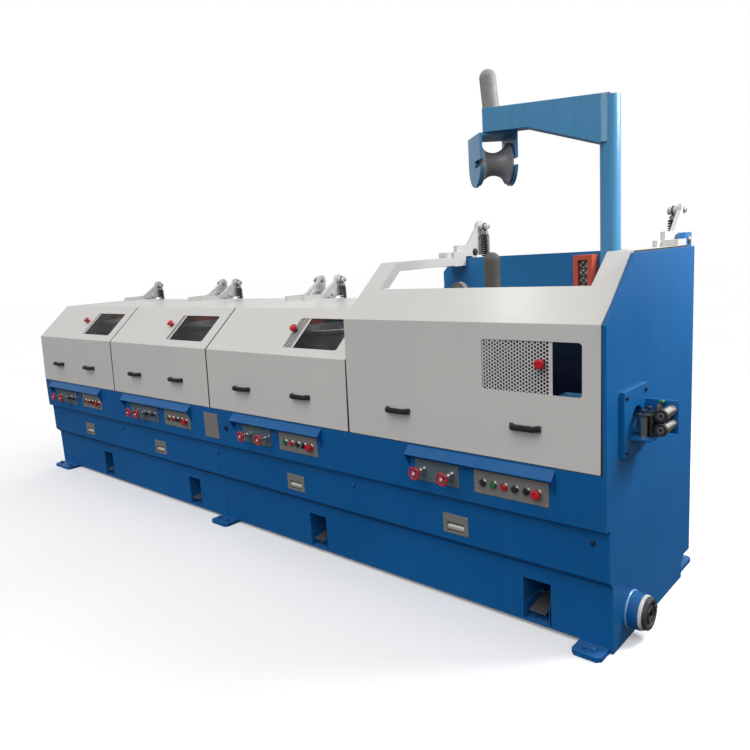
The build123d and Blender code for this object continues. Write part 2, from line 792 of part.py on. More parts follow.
# Guide post and sheave on the last block
BLOCK_POST_TOP_Z = 1486.0
SHEAVE_REACH = 180.0
SHEAVE_Z = 1320.0
SHEAVE_R = 38.0
SHEAVE_GROOVE = 9.0
SHEAVE_WIDE = 30.0
SHEAVE_BAR = 14.0
SHEAVE_DISH = 6.0
HUB_TOP_Z = DECK_Z + BLOCK_BASE_Z + BLOCK_GAP + BLOCK_HEIGHT - DISH_DEEP + HUB_HIGH
post_seat = Plane(origin=(block_x(LAST), BLOCK_Y, HUB_TOP_Z))
save(round_post(post_seat, POST_R, BLOCK_POST_TOP_Z - HUB_TOP_Z), "block_post")

SHEAVE_X = block_x(LAST) - SHEAVE_REACH
with BuildPart() as block_sheave:
    with BuildSketch(Plane.XZ.offset(-BLOCK_Y)):
        with Locations((SHEAVE_X, (SHEAVE_Z + HUB_TOP_Z) / 2)):
            Rectangle(SHEAVE_BAR, SHEAVE_Z - HUB_TOP_Z)
        foot_long = SHEAVE_REACH + SHEAVE_BAR / 2 - POST_R
        with Locations((block_x(LAST) - POST_R - foot_long / 2, HUB_TOP_Z + SHEAVE_BAR / 2)):
            Rectangle(foot_long, SHEAVE_BAR)
    extrude(amount=SHEAVE_BAR / 2, both=True)
    with BuildSketch(Plane.YZ.offset(SHEAVE_X)):
        with BuildLine():
            Polyline(
                (BLOCK_Y - SHEAVE_WIDE / 2, SHEAVE_Z),
                (BLOCK_Y - SHEAVE_WIDE / 2, SHEAVE_Z + SHEAVE_R),
                (BLOCK_Y, SHEAVE_Z + SHEAVE_R - SHEAVE_GROOVE),
                (BLOCK_Y + SHEAVE_WIDE / 2, SHEAVE_Z + SHEAVE_R),
                (BLOCK_Y + SHEAVE_WIDE / 2, SHEAVE_Z),
                close=True,
            )
        make_face()
    revolve(axis=Axis(origin=(SHEAVE_X, BLOCK_Y, SHEAVE_Z), direction=(0, 1, 0)))
    with BuildSketch(Plane.XZ.offset(-BLOCK_Y + SHEAVE_WIDE / 2)):
        with Locations((SHEAVE_X, SHEAVE_Z)):
            Circle(SHEAVE_R - SHEAVE_DISH)
    extrude(amount=-SHEAVE_DISH, mode=Mode.SUBTRACT)
save(block_sheave.part, "block_sheave")

# Die boxes beside the first blocks and the junction box on the rear wall
DIE_BOX_GAP = 32.0
DIE_BOX_BEHIND = 150.0
DIE_BOX_LONG = 110.0
DIE_BOX_WIDE = 180.0
DIE_BOX_HIGH = 250.0
DIE_BOX_LOW_Z = 900.0
DIE_STAND_R = 45.0
with BuildPart() as die_boxes:
    for box_module in range(SMALL_MODULES):
        die_box_x = block_x(box_module) - BLOCK_R - SKIRT - DIE_BOX_GAP - DIE_BOX_LONG / 2
        with BuildSketch(Plane.XY.offset(DIE_BOX_LOW_Z)):
            with Locations((die_box_x, BLOCK_Y + DIE_BOX_BEHIND)):
                Rectangle(DIE_BOX_LONG, DIE_BOX_WIDE)
        extrude(amount=DIE_BOX_HIGH)
        with BuildSketch(Plane.XY.offset(DECK_Z)):
            with Locations((die_box_x, BLOCK_Y + DIE_BOX_BEHIND)):
                Circle(DIE_STAND_R)
        extrude(amount=DIE_BOX_LOW_Z - DECK_Z)
save(die_boxes.part, "die_boxes")

JUNCTION_LEFT = 500.0
JUNCTION_RIGHT = 410.0
JUNCTION_DEEP = 68.0
JUNCTION_LOW_Z = 1150.0
JUNCTION_TOP_Z = 1445.0
JUNCTION_RIM = 22.0
JUNCTION_WIDE = JUNCTION_LEFT - JUNCTION_RIGHT
JUNCTION_HIGH = JUNCTION_TOP_Z - JUNCTION_LOW_Z
JUNCTION_AT = (RIGHT_X - (JUNCTION_LEFT + JUNCTION_RIGHT) / 2, (JUNCTION_LOW_Z + JUNCTION_TOP_Z) / 2)
with BuildPart() as junction_box:
    with BuildSketch(Plane.XZ.offset(-WALL_Y)):
        with Locations(JUNCTION_AT):
            Rectangle(JUNCTION_WIDE, JUNCTION_HIGH)
    extrude(amount=JUNCTION_DEEP)
    with BuildSketch(Plane.XZ.offset(-WALL_Y + JUNCTION_DEEP)):
        with Locations(JUNCTION_AT):
            Rectangle(JUNCTION_WIDE - 2 * JUNCTION_RIM, JUNCTION_HIGH - 2 * JUNCTION_RIM)
    extrude(amount=-JUNCTION_RIM, mode=Mode.SUBTRACT)
save(junction_box.part, "junction_box")


# Canopies over the panels
CANOPY_SHEET = 4.0
with BuildPart() as panel_canopies:
    for canopy_module in MODULES:
        canopy_left = right_edge(canopy_module) - CANOPY_X[canopy_module] - CANOPY_WIDE[canopy_module] / 2
        canopy_right = canopy_left + CANOPY_WIDE[canopy_module]
        lip_z = CANOPY_TOP_Z - CANOPY_DROP
        with BuildSketch(Plane.YZ.offset(canopy_left)):
            with BuildLine():
                Polyline(
                    (FRONT_Y, CANOPY_TOP_Z),
                    (FRONT_Y - CANOPY_OUT, lip_z),
                    (FRONT_Y - CANOPY_OUT, lip_z - CANOPY_SHEET),
                    (FRONT_Y, CANOPY_TOP_Z - CANOPY_SHEET),
                    close=True,
                )
            make_face()
        extrude(amount=canopy_right - canopy_left)
        for cheek_x in (canopy_left, canopy_right - CANOPY_SHEET):
            with BuildSketch(Plane.YZ.offset(cheek_x)):
                with BuildLine():
                    Polyline(
                        (FRONT_Y, CANOPY_TOP_Z),
                        (FRONT_Y - CANOPY_OUT, lip_z),
                        (FRONT_Y, lip_z - CANOPY_CHEEK),
                        close=True,
                    )
                make_face()
            extrude(amount=CANOPY_SHEET)
save(panel_canopies.part, "panel_canopies")

# Plates on the upper band: valve plates and switch plates
PLATE_MID_Z = PANEL_BOTTOM_Z + PANEL_HIGH / 2
NAME_WIDE = 134.0
NAME_HIGH = 146.0
NAME_Z = 599.0


def panel_wide(module):
    """Width of a module's switch plate."""
    return LAST_PANEL_WIDE if module == LAST else PANEL_WIDE


with BuildPart() as valve_plates:
    for plate_module in MODULES:
        with BuildSketch(Plane.XZ.offset(-FRONT_Y)):
            with Locations((right_edge(plate_module) - VALVE_X[plate_module], PLATE_MID_Z)):
                Rectangle(VALVE_WIDE[plate_module], PANEL_HIGH)
        extrude(amount=PLATE)
save(valve_plates.part, "valve_plates")

with BuildPart() as switch_plates:
    for plate_module in MODULES:
        with BuildSketch(Plane.XZ.offset(-FRONT_Y)):
            with Locations((right_edge(plate_module) - PANEL_X[plate_module], PLATE_MID_Z)):
                Rectangle(panel_wide(plate_module), PANEL_HIGH)
        extrude(amount=PLATE)
    with BuildSketch(Plane.XZ.offset(-FRONT_Y)):
        with Locations((SPLIT_X, NAME_Z)):
            Rectangle(NAME_WIDE, NAME_HIGH)
    extrude(amount=PLATE)
save(switch_plates.part, "switch_plates")

# Valves with their handwheels
VALVE_FROM_LEFT = ((86.0, 208.0), (78.0, 175.0), (66.0, 215.0), (44.0, 187.0))
SPARE_FROM_LEFT = ((258.0, 316.0), (226.0, 300.0), (), ())
VALVE_Z = 596.0
VALVE_BODY_R = 13.0
VALVE_BODY_OUT = 30.0
STEM_R = 6.0
WHEEL_OUT = 70.0
WHEEL_R = 29.0
WHEEL_RIM_R = 5.0
WHEEL_HUB_R = 9.0
WHEEL_SPOKE = 6.0
WHEEL_SPOKES = 5
PLATE_FRONT_Y = FRONT_Y - PLATE


def valve_places(module, from_left):
    """X of each valve or fitting, counted from the left edge of a module's valve plate."""
    start = right_edge(module) - VALVE_X[module] - VALVE_WIDE[module] / 2
    return [start + step for step in from_left[module]]


with BuildPart() as valve_fittings:
    for valve_module in MODULES:
        valve_points = [(x, VALVE_Z) for x in valve_places(valve_module, VALVE_FROM_LEFT)]
        spare_points = [(x, VALVE_Z) for x in valve_places(valve_module, SPARE_FROM_LEFT)]
        with BuildSketch(Plane.XZ.offset(-PLATE_FRONT_Y)):
            with Locations(valve_points + spare_points):
                Circle(VALVE_BODY_R)
        extrude(amount=VALVE_BODY_OUT)
        with BuildSketch(Plane.XZ.offset(-PLATE_FRONT_Y + VALVE_BODY_OUT)):
            with Locations(valve_points):
                Circle(STEM_R)
        extrude(amount=WHEEL_OUT - VALVE_BODY_OUT)
save(valve_fittings.part, "valve_fittings")

with BuildPart() as handwheels:
    for wheel_module in MODULES:
        for wheel_x in valve_places(wheel_module, VALVE_FROM_LEFT):
            wheel_plane = Plane.XZ.offset(-PLATE_FRONT_Y + WHEEL_OUT)
            with BuildSketch(wheel_plane):
                with Locations((wheel_x, VALVE_Z)):
                    Circle(WHEEL_R)
                    Circle(WHEEL_R - 2 * WHEEL_RIM_R, mode=Mode.SUBTRACT)
            extrude(amount=WHEEL_RIM_R)
            with BuildSketch(wheel_plane):
                with Locations((wheel_x, VALVE_Z)):
                    Circle(WHEEL_HUB_R)
                    with PolarLocations((WHEEL_R - WHEEL_RIM_R) / 2, WHEEL_SPOKES):
                        Rectangle(WHEEL_R - WHEEL_RIM_R, WHEEL_SPOKE)
            extrude(amount=WHEEL_RIM_R)
save(handwheels.part, "handwheels")

# Switches on the switch plates
SWITCH_R = 14.0
SWITCH_RING = 5.0
SWITCH_CAP_R = 11.0
SWITCH_CAP = 12.0
STOP_CAP_R = 20.0
STOP_CAP_OUT = 28.0
STOP_CAP = 14.0
SMALL_SWITCHES = 5
LAST_SWITCHES = 6
SWITCH_PITCH = 45.4
SWITCH_INSET = 42.0
SWITCH_Z = 592.0


def switch_places(module):
    """X of each switch, left to right, the red stop mushroom last."""
    count = LAST_SWITCHES if module == LAST else SMALL_SWITCHES
    start = right_edge(module) - PANEL_X[module] + panel_wide(module) / 2 - SWITCH_INSET
    return [start - (count - 1 - index) * SWITCH_PITCH for index in range(count)]


with BuildPart() as switches:
    for switch_module in MODULES:
        switch_points = [(x, SWITCH_Z) for x in switch_places(switch_module)]
        with BuildSketch(Plane.XZ.offset(-PLATE_FRONT_Y)):
            with Locations(switch_points):
                Circle(SWITCH_R)
        extrude(amount=SWITCH_RING)
        with BuildSketch(Plane.XZ.offset(-PLATE_FRONT_Y + SWITCH_RING)):
            with Locations(switch_points):
                Circle(SWITCH_CAP_R)
        extrude(amount=SWITCH_CAP)
        with BuildSketch(Plane.XZ.offset(-PLATE_FRONT_Y + STOP_CAP_OUT - STOP_CAP)):
            with Locations(switch_points[-1:]):
                Circle(STOP_CAP_R)
        extrude(amount=STOP_CAP)
save(switches.part, "switches")

# Flush pulls: framed plates with a cup that sinks into the middle band
PULL_WINDOW_WIDE = 86.0
PULL_WINDOW_HIGH = 40.0
PULL_CUP = 32.0
PULL_WALL = 2.0
MIDDLE_FACE_Y = FRONT_Y + UPPER_STEP
PULL_ROUND_Y = MIDDLE_FACE_Y + PULL_CUP - PULL_WINDOW_HIGH / 2 - PULL_WALL
with BuildPart() as flush_pulls:
    for pull_module in MODULES:
        pull_x = right_edge(pull_module) - PULL_X[pull_module]
        with BuildSketch(Plane.XZ.offset(-MIDDLE_FACE_Y)):
            with Locations((pull_x, PULL_Z)):
                Rectangle(PULL_WIDE, PULL_HIGH)
        extrude(amount=PULL_WALL)
        cup_z = PULL_Z - PULL_DROP
        for cup_r, cup_wide, cup_mode in (
            (PULL_WINDOW_HIGH / 2 + PULL_WALL, PULL_WINDOW_WIDE + 2 * PULL_WALL, Mode.ADD),
            (PULL_WINDOW_HIGH / 2, PULL_WINDOW_WIDE, Mode.SUBTRACT),
        ):
            cup_start = MIDDLE_FACE_Y - (0 if cup_mode == Mode.ADD else PULL_WALL)
            with BuildSketch(Plane.YZ.offset(pull_x - cup_wide / 2)):
                with Locations((PULL_ROUND_Y, cup_z)):
                    Circle(cup_r)
                with Locations(((cup_start + PULL_ROUND_Y) / 2, cup_z)):
                    Rectangle(PULL_ROUND_Y - cup_start, 2 * cup_r)
                with Locations((cup_start - cup_r, cup_z)):
                    Rectangle(2 * cup_r, 2 * cup_r, mode=Mode.SUBTRACT)
            extrude(amount=cup_wide, mode=cup_mode)
save(flush_pulls.part, "flush_pulls")

# Foot pedals in the pockets of the lower band
GUARD_WIDE = 108.0
GUARD_HIGH = 76.0
GUARD_LONG = 150.0
GUARD_SHEET = 3.0
PEDAL_WIDE = 72.0
PEDAL_LONG = 138.0
PEDAL_THICK = 8.0
PEDAL_PIN_R = 6.0
PEDAL_TILT = 10.0
PEDAL_SET_BACK = 4.0
GUARD_FLOOR_Z = POCKET_BOTTOM_Z
PEDAL_PIVOT_HIGH = 60.0
PEDAL_PIVOT_BACK = 134.0
PEDAL_PIVOT_Z = GUARD_FLOOR_Z + PEDAL_PIVOT_HIGH
PEDAL_PIVOT_Y = LOWER_Y + PEDAL_PIVOT_BACK


def pocket_x(module):
    """X of the middle of a pedal pocket."""
    return right_edge(module) - PEDAL_X[module]


with BuildPart() as pedal_guards:
    for guard_module in MODULES:
        with BuildSketch(Plane.XZ.offset(-LOWER_Y)):
            with Locations((pocket_x(guard_module), GUARD_FLOOR_Z + GUARD_HIGH / 2)):
                Rectangle(GUARD_WIDE, GUARD_HIGH)
            with Locations((pocket_x(guard_module), GUARD_FLOOR_Z + GUARD_SHEET + GUARD_HIGH / 2)):
                Rectangle(GUARD_WIDE - 2 * GUARD_SHEET, GUARD_HIGH, mode=Mode.SUBTRACT)
        extrude(amount=-GUARD_LONG)
        with BuildSketch(Plane.YZ.offset(pocket_x(guard_module) - GUARD_WIDE / 2)):
            with Locations((PEDAL_PIVOT_Y, PEDAL_PIVOT_Z)):
                Circle(PEDAL_PIN_R)
        extrude(amount=GUARD_WIDE)
save(pedal_guards.part, "pedal_guards")


def build_pedal(module):
    """Flat pedal that slopes down to the operator, on a tube round its pin."""
    pivot = Plane(
        origin=(pocket_x(module) - PEDAL_WIDE / 2, PEDAL_PIVOT_Y, PEDAL_PIVOT_Z),
        x_dir=(0, -cos(radians(PEDAL_TILT)), -sin(radians(PEDAL_TILT))),
        z_dir=(1, 0, 0),
    )
    with BuildPart() as pedal:
        with BuildSketch(pivot):
            with Locations((PEDAL_LONG / 2 - PEDAL_SET_BACK, -PEDAL_PIN_R)):
                Rectangle(PEDAL_LONG, PEDAL_THICK)
            Circle(PEDAL_PIN_R + PEDAL_THICK / 2)
            Circle(PEDAL_PIN_R + PIN_GAP, mode=Mode.SUBTRACT)
        extrude(amount=PEDAL_WIDE)
    return pedal.part


for pedal_module in MODULES:
    save(build_pedal(pedal_module), f"pedal_{pedal_module + 1}")

# Outlet guide box on the right end plate
MOUNT_THICK = 16.0
MOUNT_FRONT = 115.0
MOUNT_REAR = 335.0
MOUNT_LOW_Z = 738.0
MOUNT_TOP_Z = 979.0
SIDE_PLATE = 10.0
SIDE_PLATE_FRONT = 320.0
SIDE_LONG = 132.0
SIDE_LOW_Z = 797.0
SIDE_TOP_Z = 919.0
LEDGE_FRONT = 165.0
LEDGE_LONG = 88.0
LEDGE_THICK = 8.0
GUIDE_R = 21.0
GUIDE_GAP = 10.0
GUIDE_PIN_R = 6.0
UPRIGHT_X = 48.0
UPRIGHT_LONG = 82.0
LEVEL_LONG = 112.0
LEVEL_X = 108.0
MOUNT_BORE_R = 50.0
SIDE_Y = FRONT_Y + SIDE_PLATE_FRONT
with BuildPart() as guide_box:
    with BuildSketch(Plane.YZ.offset(RIGHT_X)):
        with Locations((FRONT_Y + (MOUNT_FRONT + MOUNT_REAR) / 2, (MOUNT_LOW_Z + MOUNT_TOP_Z) / 2)):
            Rectangle(MOUNT_REAR - MOUNT_FRONT, MOUNT_TOP_Z - MOUNT_LOW_Z)
        with Locations((OUTLET_Y, OUTLET_Z)):
            Circle(MOUNT_BORE_R, mode=Mode.SUBTRACT)
    extrude(amount=MOUNT_THICK)
    with BuildSketch(Plane.XZ.offset(-SIDE_Y)):
        with Locations((RIGHT_X + SIDE_LONG / 2, (SIDE_LOW_Z + SIDE_TOP_Z) / 2)):
            Rectangle(SIDE_LONG, SIDE_TOP_Z - SIDE_LOW_Z)
    extrude(amount=-SIDE_PLATE)
    with BuildSketch(Plane.XY.offset(SIDE_LOW_Z)):
        with Locations((RIGHT_X + LEDGE_LONG / 2, (FRONT_Y + LEDGE_FRONT + SIDE_Y) / 2)):
            Rectangle(LEDGE_LONG, SIDE_Y - FRONT_Y - LEDGE_FRONT)
    extrude(amount=LEDGE_THICK)
    for guide_y in (OUTLET_Y - GUIDE_R - GUIDE_GAP / 2, OUTLET_Y + GUIDE_R + GUIDE_GAP / 2):
        with BuildSketch(Plane.XY.offset(SIDE_LOW_Z + LEDGE_THICK)):
            with Locations((RIGHT_X + UPRIGHT_X, guide_y)):
                Circle(GUIDE_PIN_R)
        extrude(amount=UPRIGHT_LONG + 2 * PIN_GAP + LEDGE_THICK)
    for guide_z in (OUTLET_Z - GUIDE_R - GUIDE_GAP / 2, OUTLET_Z + GUIDE_R + GUIDE_GAP / 2):
        with BuildSketch(Plane.XZ.offset(-SIDE_Y)):
            with Locations((RIGHT_X + LEVEL_X, guide_z)):
                Circle(GUIDE_PIN_R)
        extrude(amount=LEVEL_LONG + 2 * PIN_GAP)
save(guide_box.part, "guide_box")


def build_upright_guide(guide_y):
    """Upright guide roller on its pin above the ledge."""
    with BuildPart() as roller:
        with BuildSketch(Plane.XY.offset(SIDE_LOW_Z + LEDGE_THICK + PIN_GAP)):
            with Locations((RIGHT_X + UPRIGHT_X, guide_y)):
                Circle(GUIDE_R)
                Circle(GUIDE_PIN_R + PIN_GAP, mode=Mode.SUBTRACT)
        extrude(amount=UPRIGHT_LONG)
    return roller.part


def build_level_guide(guide_z):
    """Level guide roller on its pin in front of the side plate."""
    with BuildPart() as roller:
        with BuildSketch(Plane.XZ.offset(-SIDE_Y + PIN_GAP)):
            with Locations((RIGHT_X + LEVEL_X, guide_z)):
                Circle(GUIDE_R)
                Circle(GUIDE_PIN_R + PIN_GAP, mode=Mode.SUBTRACT)
        extrude(amount=LEVEL_LONG)
    return roller.part


GUIDE_STEP = GUIDE_R + GUIDE_GAP / 2
save(build_upright_guide(OUTLET_Y - GUIDE_STEP), "guide_roller_front")
save(build_upright_guide(OUTLET_Y + GUIDE_STEP), "guide_roller_rear")
save(build_level_guide(OUTLET_Z - GUIDE_STEP), "guide_roller_lower")
save(build_level_guide(OUTLET_Z + GUIDE_STEP), "guide_roller_upper")

# Pipe stub and its screwed plug
PIPE_R = 70.0
PIPE_LONG = 46.0
PIPE_BACK = 225.0
PIPE_Z = 107.0
PLUG_R = 62.0
PLUG_LONG = 30.0
PLUG_SOCKET = 34.0
with BuildPart() as pipe_stub:
    with BuildSketch(Plane.YZ.offset(RIGHT_X)):
        with Locations((FRONT_Y + PIPE_BACK, PIPE_Z)):
            Circle(PIPE_R)
    extrude(amount=PIPE_LONG)
save(pipe_stub.part, "pipe_stub")

with BuildPart() as pipe_plug:
    with BuildSketch(Plane.YZ.offset(RIGHT_X + PIPE_LONG)):
        with Locations((FRONT_Y + PIPE_BACK, PIPE_Z)):
            Circle(PLUG_R)
    extrude(amount=PLUG_LONG)
    with BuildSketch(Plane.YZ.offset(RIGHT_X + PIPE_LONG + PLUG_LONG)):
        with Locations((FRONT_Y + PIPE_BACK, PIPE_Z)):
            Rectangle(PLUG_SOCKET, PLUG_SOCKET)
    extrude(amount=-PLUG_LONG / 2, mode=Mode.SUBTRACT)
save(pipe_plug.part, "pipe_plug")

# Slewing jib: the column turns in a socket on the deck
SOCKET_R = 70.0
SOCKET_HIGH = 180.0
SOCKET_FLANGE_R = 110.0
SOCKET_FLANGE = 16.0
JIB_X = RIGHT_X - COLUMN_X
JIB_Y = WALL_Y - COLUMN_FROM_WALL
COLUMN_TOP_DROP = 6.0
ARM_STEP = 4.0
with BuildPart() as jib_socket:
    with BuildSketch(Plane.XY.offset(DECK_Z)):
        with Locations((JIB_X, JIB_Y)):
            Circle(SOCKET_FLANGE_R)
    extrude(amount=SOCKET_FLANGE)
    with BuildSketch(Plane.XY.offset(DECK_Z + SOCKET_FLANGE)):
        with Locations((JIB_X, JIB_Y)):
            Circle(SOCKET_R)
            Circle(COLUMN_R + PIN_GAP, mode=Mode.SUBTRACT)
    extrude(amount=SOCKET_HIGH - SOCKET_FLANGE)
save(jib_socket.part, "jib_socket")

ARM_THICK = 2 * COLUMN_R - ARM_STEP
SEAT_LONG = 190.0
JIB_DIR = (cos(radians(JIB_ANGLE)), sin(radians(JIB_ANGLE)), 0)
JIB_SIDE = (-JIB_DIR[1], JIB_DIR[0], 0)
with BuildPart() as jib_mast:
    with BuildSketch(Plane.XY.offset(DECK_Z + SOCKET_FLANGE + PIN_GAP)):
        with Locations((JIB_X, JIB_Y)):
            Circle(COLUMN_R)
    extrude(amount=JIB_TOP_Z - COLUMN_TOP_DROP - DECK_Z - SOCKET_FLANGE - PIN_GAP)
    with BuildSketch(Plane(origin=(JIB_X, JIB_Y, 0), x_dir=JIB_DIR, z_dir=JIB_SIDE)):
        with BuildLine():
            Polyline(
                (0, -JIB_TOP_Z),
                (0, -JIB_TOP_Z + JIB_ROOT_DEEP),
                (COLUMN_R, -JIB_TOP_Z + JIB_ROOT_DEEP),
                (JIB_LENGTH - SEAT_LONG, -JIB_TOP_Z + JIB_TIP_DEEP),
                (JIB_LENGTH, -JIB_TOP_Z + JIB_TIP_DEEP),
                (JIB_LENGTH, -JIB_TOP_Z),
                close=True,
            )
        make_face()
    extrude(amount=ARM_THICK / 2, both=True)
save(jib_mast.part, "jib_mast")


def along_jib(reach, height):
    """Point on the jib's middle plane, at a reach from the column and a height."""
    return (JIB_X + JIB_DIR[0] * reach, JIB_Y + JIB_DIR[1] * reach, height)


POST_BACK = 34.0
POST_SINK = 10.0
LEAN = sin(radians(POST_LEAN))
LEAN_DIR = (JIB_DIR[0] * LEAN, JIB_DIR[1] * LEAN, cos(radians(POST_LEAN)))
leaning_post = round_post(
    Plane(origin=along_jib(JIB_LENGTH - POST_BACK, JIB_TOP_Z - POST_SINK), z_dir=LEAN_DIR),
    POST_R,
    POST_LONG + POST_SINK,
)
with BuildPart() as jib_post:
    add(leaning_post)
    split(bisect_by=Plane.XY.offset(JIB_TOP_Z), keep=Keep.TOP)
save(jib_post.part, "jib_post")

# Pulley in its yoke under the jib's tip, set back from the jib's middle plane
YOKE_TOP = 12.0
YOKE_INSET = 22.0
YOKE_BACK = 82.0
SIDE_PLAY = 5.0
PULLEY_PIN_R = 15.0
SEAT_Z = JIB_TOP_Z - JIB_TIP_DEEP
AXLE_Z = SEAT_Z - PULLEY_DROP
YAW = (cos(radians(PULLEY_YAW)), sin(radians(PULLEY_YAW)), 0)
ACROSS = (-YAW[1], YAW[0], 0)
TIP_AT = along_jib(JIB_LENGTH - YOKE_INSET, 0)
YOKE_AT = (TIP_AT[0] - JIB_SIDE[0] * YOKE_BACK, TIP_AT[1] - JIB_SIDE[1] * YOKE_BACK)
INNER = PULLEY_LONG / 2 + SIDE_PLAY


def along_axle(reach, height):
    """Point on the pulley's axle line, at a reach from the yoke's middle and a height."""
    return (YOKE_AT[0] + YAW[0] * reach, YOKE_AT[1] + YAW[1] * reach, height)


with BuildPart() as pulley_yoke:
    with BuildSketch(Plane(origin=along_axle(0, SEAT_Z), x_dir=YAW, z_dir=(0, 0, -1))):
        Rectangle(2 * (INNER + CHEEK), CHEEK_WIDE)
    extrude(amount=YOKE_TOP)
    for cheek_start in (-INNER - CHEEK, INNER):
        with BuildSketch(Plane(origin=along_axle(cheek_start, SEAT_Z), x_dir=ACROSS, z_dir=YAW)):
            with Locations((0, -(CHEEK_HIGH - CHEEK_WIDE / 2) / 2)):
                Rectangle(CHEEK_WIDE, CHEEK_HIGH - CHEEK_WIDE / 2)
            with Locations((0, -CHEEK_HIGH + CHEEK_WIDE / 2)):
                Circle(CHEEK_WIDE / 2)
            with Locations((-CHEEK_WIDE / 4, AXLE_Z - SEAT_Z)):
                Rectangle(CHEEK_WIDE / 2, 2 * PULLEY_PIN_R, mode=Mode.SUBTRACT)
            with Locations((0, AXLE_Z - SEAT_Z)):
                Circle(PULLEY_PIN_R, mode=Mode.SUBTRACT)
        extrude(amount=CHEEK)
    with BuildSketch(Plane(origin=along_axle(-INNER - CHEEK, AXLE_Z), x_dir=ACROSS, z_dir=YAW)):
        Circle(PULLEY_PIN_R)
    extrude(amount=2 * (INNER + CHEEK))
save(pulley_yoke.part, "pulley_yoke")

pulley_middle = Plane(origin=along_axle(0, AXLE_Z), x_dir=YAW, z_dir=ACROSS)
PULLEY_RIM = 8.0
with BuildPart() as pulley:
    with BuildSketch(pulley_middle):
        with BuildLine():
            Line((-PULLEY_LONG / 2, PULLEY_PIN_R + PIN_GAP), (-PULLEY_LONG / 2, PULLEY_R))
            Line((-PULLEY_LONG / 2, PULLEY_R), (-PULLEY_LONG / 2 + PULLEY_RIM, PULLEY_R))
            ThreePointArc(
                (-PULLEY_LONG / 2 + PULLEY_RIM, PULLEY_R),
                (0, PULLEY_WAIST_R),
                (PULLEY_LONG / 2 - PULLEY_RIM, PULLEY_R),
            )
            Line((PULLEY_LONG / 2 - PULLEY_RIM, PULLEY_R), (PULLEY_LONG / 2, PULLEY_R))
            Line((PULLEY_LONG / 2, PULLEY_R), (PULLEY_LONG / 2, PULLEY_PIN_R + PIN_GAP))
            Line((PULLEY_LONG / 2, PULLEY_PIN_R + PIN_GAP), (-PULLEY_LONG / 2, PULLEY_PIN_R + PIN_GAP))
        make_face()
    revolve(axis=Axis(origin=pulley_middle.origin, direction=YAW))
save(pulley.part, "pulley")
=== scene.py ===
"""Looks of the wire drawing machine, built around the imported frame. Metres, Z up."""

import json
from math import copysign, cos, hypot, pi, radians, sin
from random import Random

import bmesh
import bpy
from mathutils import Matrix, Vector


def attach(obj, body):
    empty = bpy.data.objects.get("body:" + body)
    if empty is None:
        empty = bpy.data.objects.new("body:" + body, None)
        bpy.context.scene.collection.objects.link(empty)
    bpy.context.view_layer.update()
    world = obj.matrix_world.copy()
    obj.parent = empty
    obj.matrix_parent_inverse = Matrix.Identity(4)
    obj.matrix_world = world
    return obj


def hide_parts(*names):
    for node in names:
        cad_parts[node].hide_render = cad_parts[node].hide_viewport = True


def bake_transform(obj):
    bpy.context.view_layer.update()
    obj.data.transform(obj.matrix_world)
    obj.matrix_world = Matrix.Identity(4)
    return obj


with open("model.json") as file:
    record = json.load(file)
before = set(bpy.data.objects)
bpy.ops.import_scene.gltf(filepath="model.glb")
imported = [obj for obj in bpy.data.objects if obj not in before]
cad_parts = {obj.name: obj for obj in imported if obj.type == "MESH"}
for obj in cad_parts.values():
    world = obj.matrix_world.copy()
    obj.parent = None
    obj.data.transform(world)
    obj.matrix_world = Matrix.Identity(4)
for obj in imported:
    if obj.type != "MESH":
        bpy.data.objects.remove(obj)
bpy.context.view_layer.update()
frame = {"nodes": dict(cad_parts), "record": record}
NODES = frame["nodes"]

# Places of the machine that several pieces share
RIGHT_X = 2.284
LEFT_X = -2.284
FRONT_Y = -0.47625
REAR_Y = 0.42175
DECK_Z = 0.700
UPPER_Z = 0.495
MIDDLE_Z = 0.294
MIDDLE_FACE_Y = FRONT_Y + 0.025
LOWER_FACE_Y = FRONT_Y + 0.0545
EDGES = (-1.174, -0.064, 1.046, RIGHT_X)
LEFTS = (LEFT_X, *EDGES[:3])
LAST = 3
MODULES = range(4)

# Hood section
HOOD_LOW_Z = DECK_Z + 0.004
FOLD_Z = (1.041, 1.041, 1.041, 1.230)
TOP_Z = (1.251, 1.251, 1.251, 1.466)
BREAK_BACK = (0.251, 0.251, 0.251, 0.296)
LEAN = 0.012
HOOD_REAR_Y = 0.38475
SHEET = 0.003
SEAM = 0.012
END_PLATE = 0.014
END_GAP = 0.008


def hood_section(module):
    """Outer section of a hood as (y, z): foot, fold, break, back corner."""
    fold = (FRONT_Y + LEAN, FOLD_Z[module])
    brk = (FRONT_Y + BREAK_BACK[module], TOP_Z[module])
    return (FRONT_Y, HOOD_LOW_Z), fold, brk, (HOOD_REAR_Y, TOP_Z[module])


def hood_ends(module):
    """X of a hood's left and right faces."""
    left = LEFTS[module] + (0 if module == 0 else SEAM / 2)
    right = EDGES[module] - (END_PLATE + END_GAP if module == LAST else SEAM / 2)
    return left, right


def basis(along, up, out, at):
    """Matrix whose x, y and z axes are the given directions, placed at a point."""
    rows = [Vector(along).normalized(), Vector(up).normalized(), Vector(out).normalized()]
    return Matrix.Translation(Vector(at)) @ Matrix(rows).transposed().to_4x4()


def face_at(low, high, x, distance):
    """Frame on a hood face between two (y, z) points: x along the row, y up the sheet, z outward."""
    up = Vector((0, high[0] - low[0], high[1] - low[1])).normalized()
    return basis((1, 0, 0), up, (0, -up.z, up.y), Vector((x, *low)) + up * distance)


def front_at(module, x, z):
    """Frame on a hood's leaning front at a height."""
    foot, fold, _, _ = hood_section(module)
    run = hypot(fold[0] - foot[0], fold[1] - foot[1])
    return face_at(foot, fold, x, run * (z - foot[1]) / (fold[1] - foot[1]))


def slant_at(module, x, distance):
    """Frame on a hood's slanted face at a distance above the fold."""
    _, fold, brk, _ = hood_section(module)
    return face_at(fold, brk, x, distance)


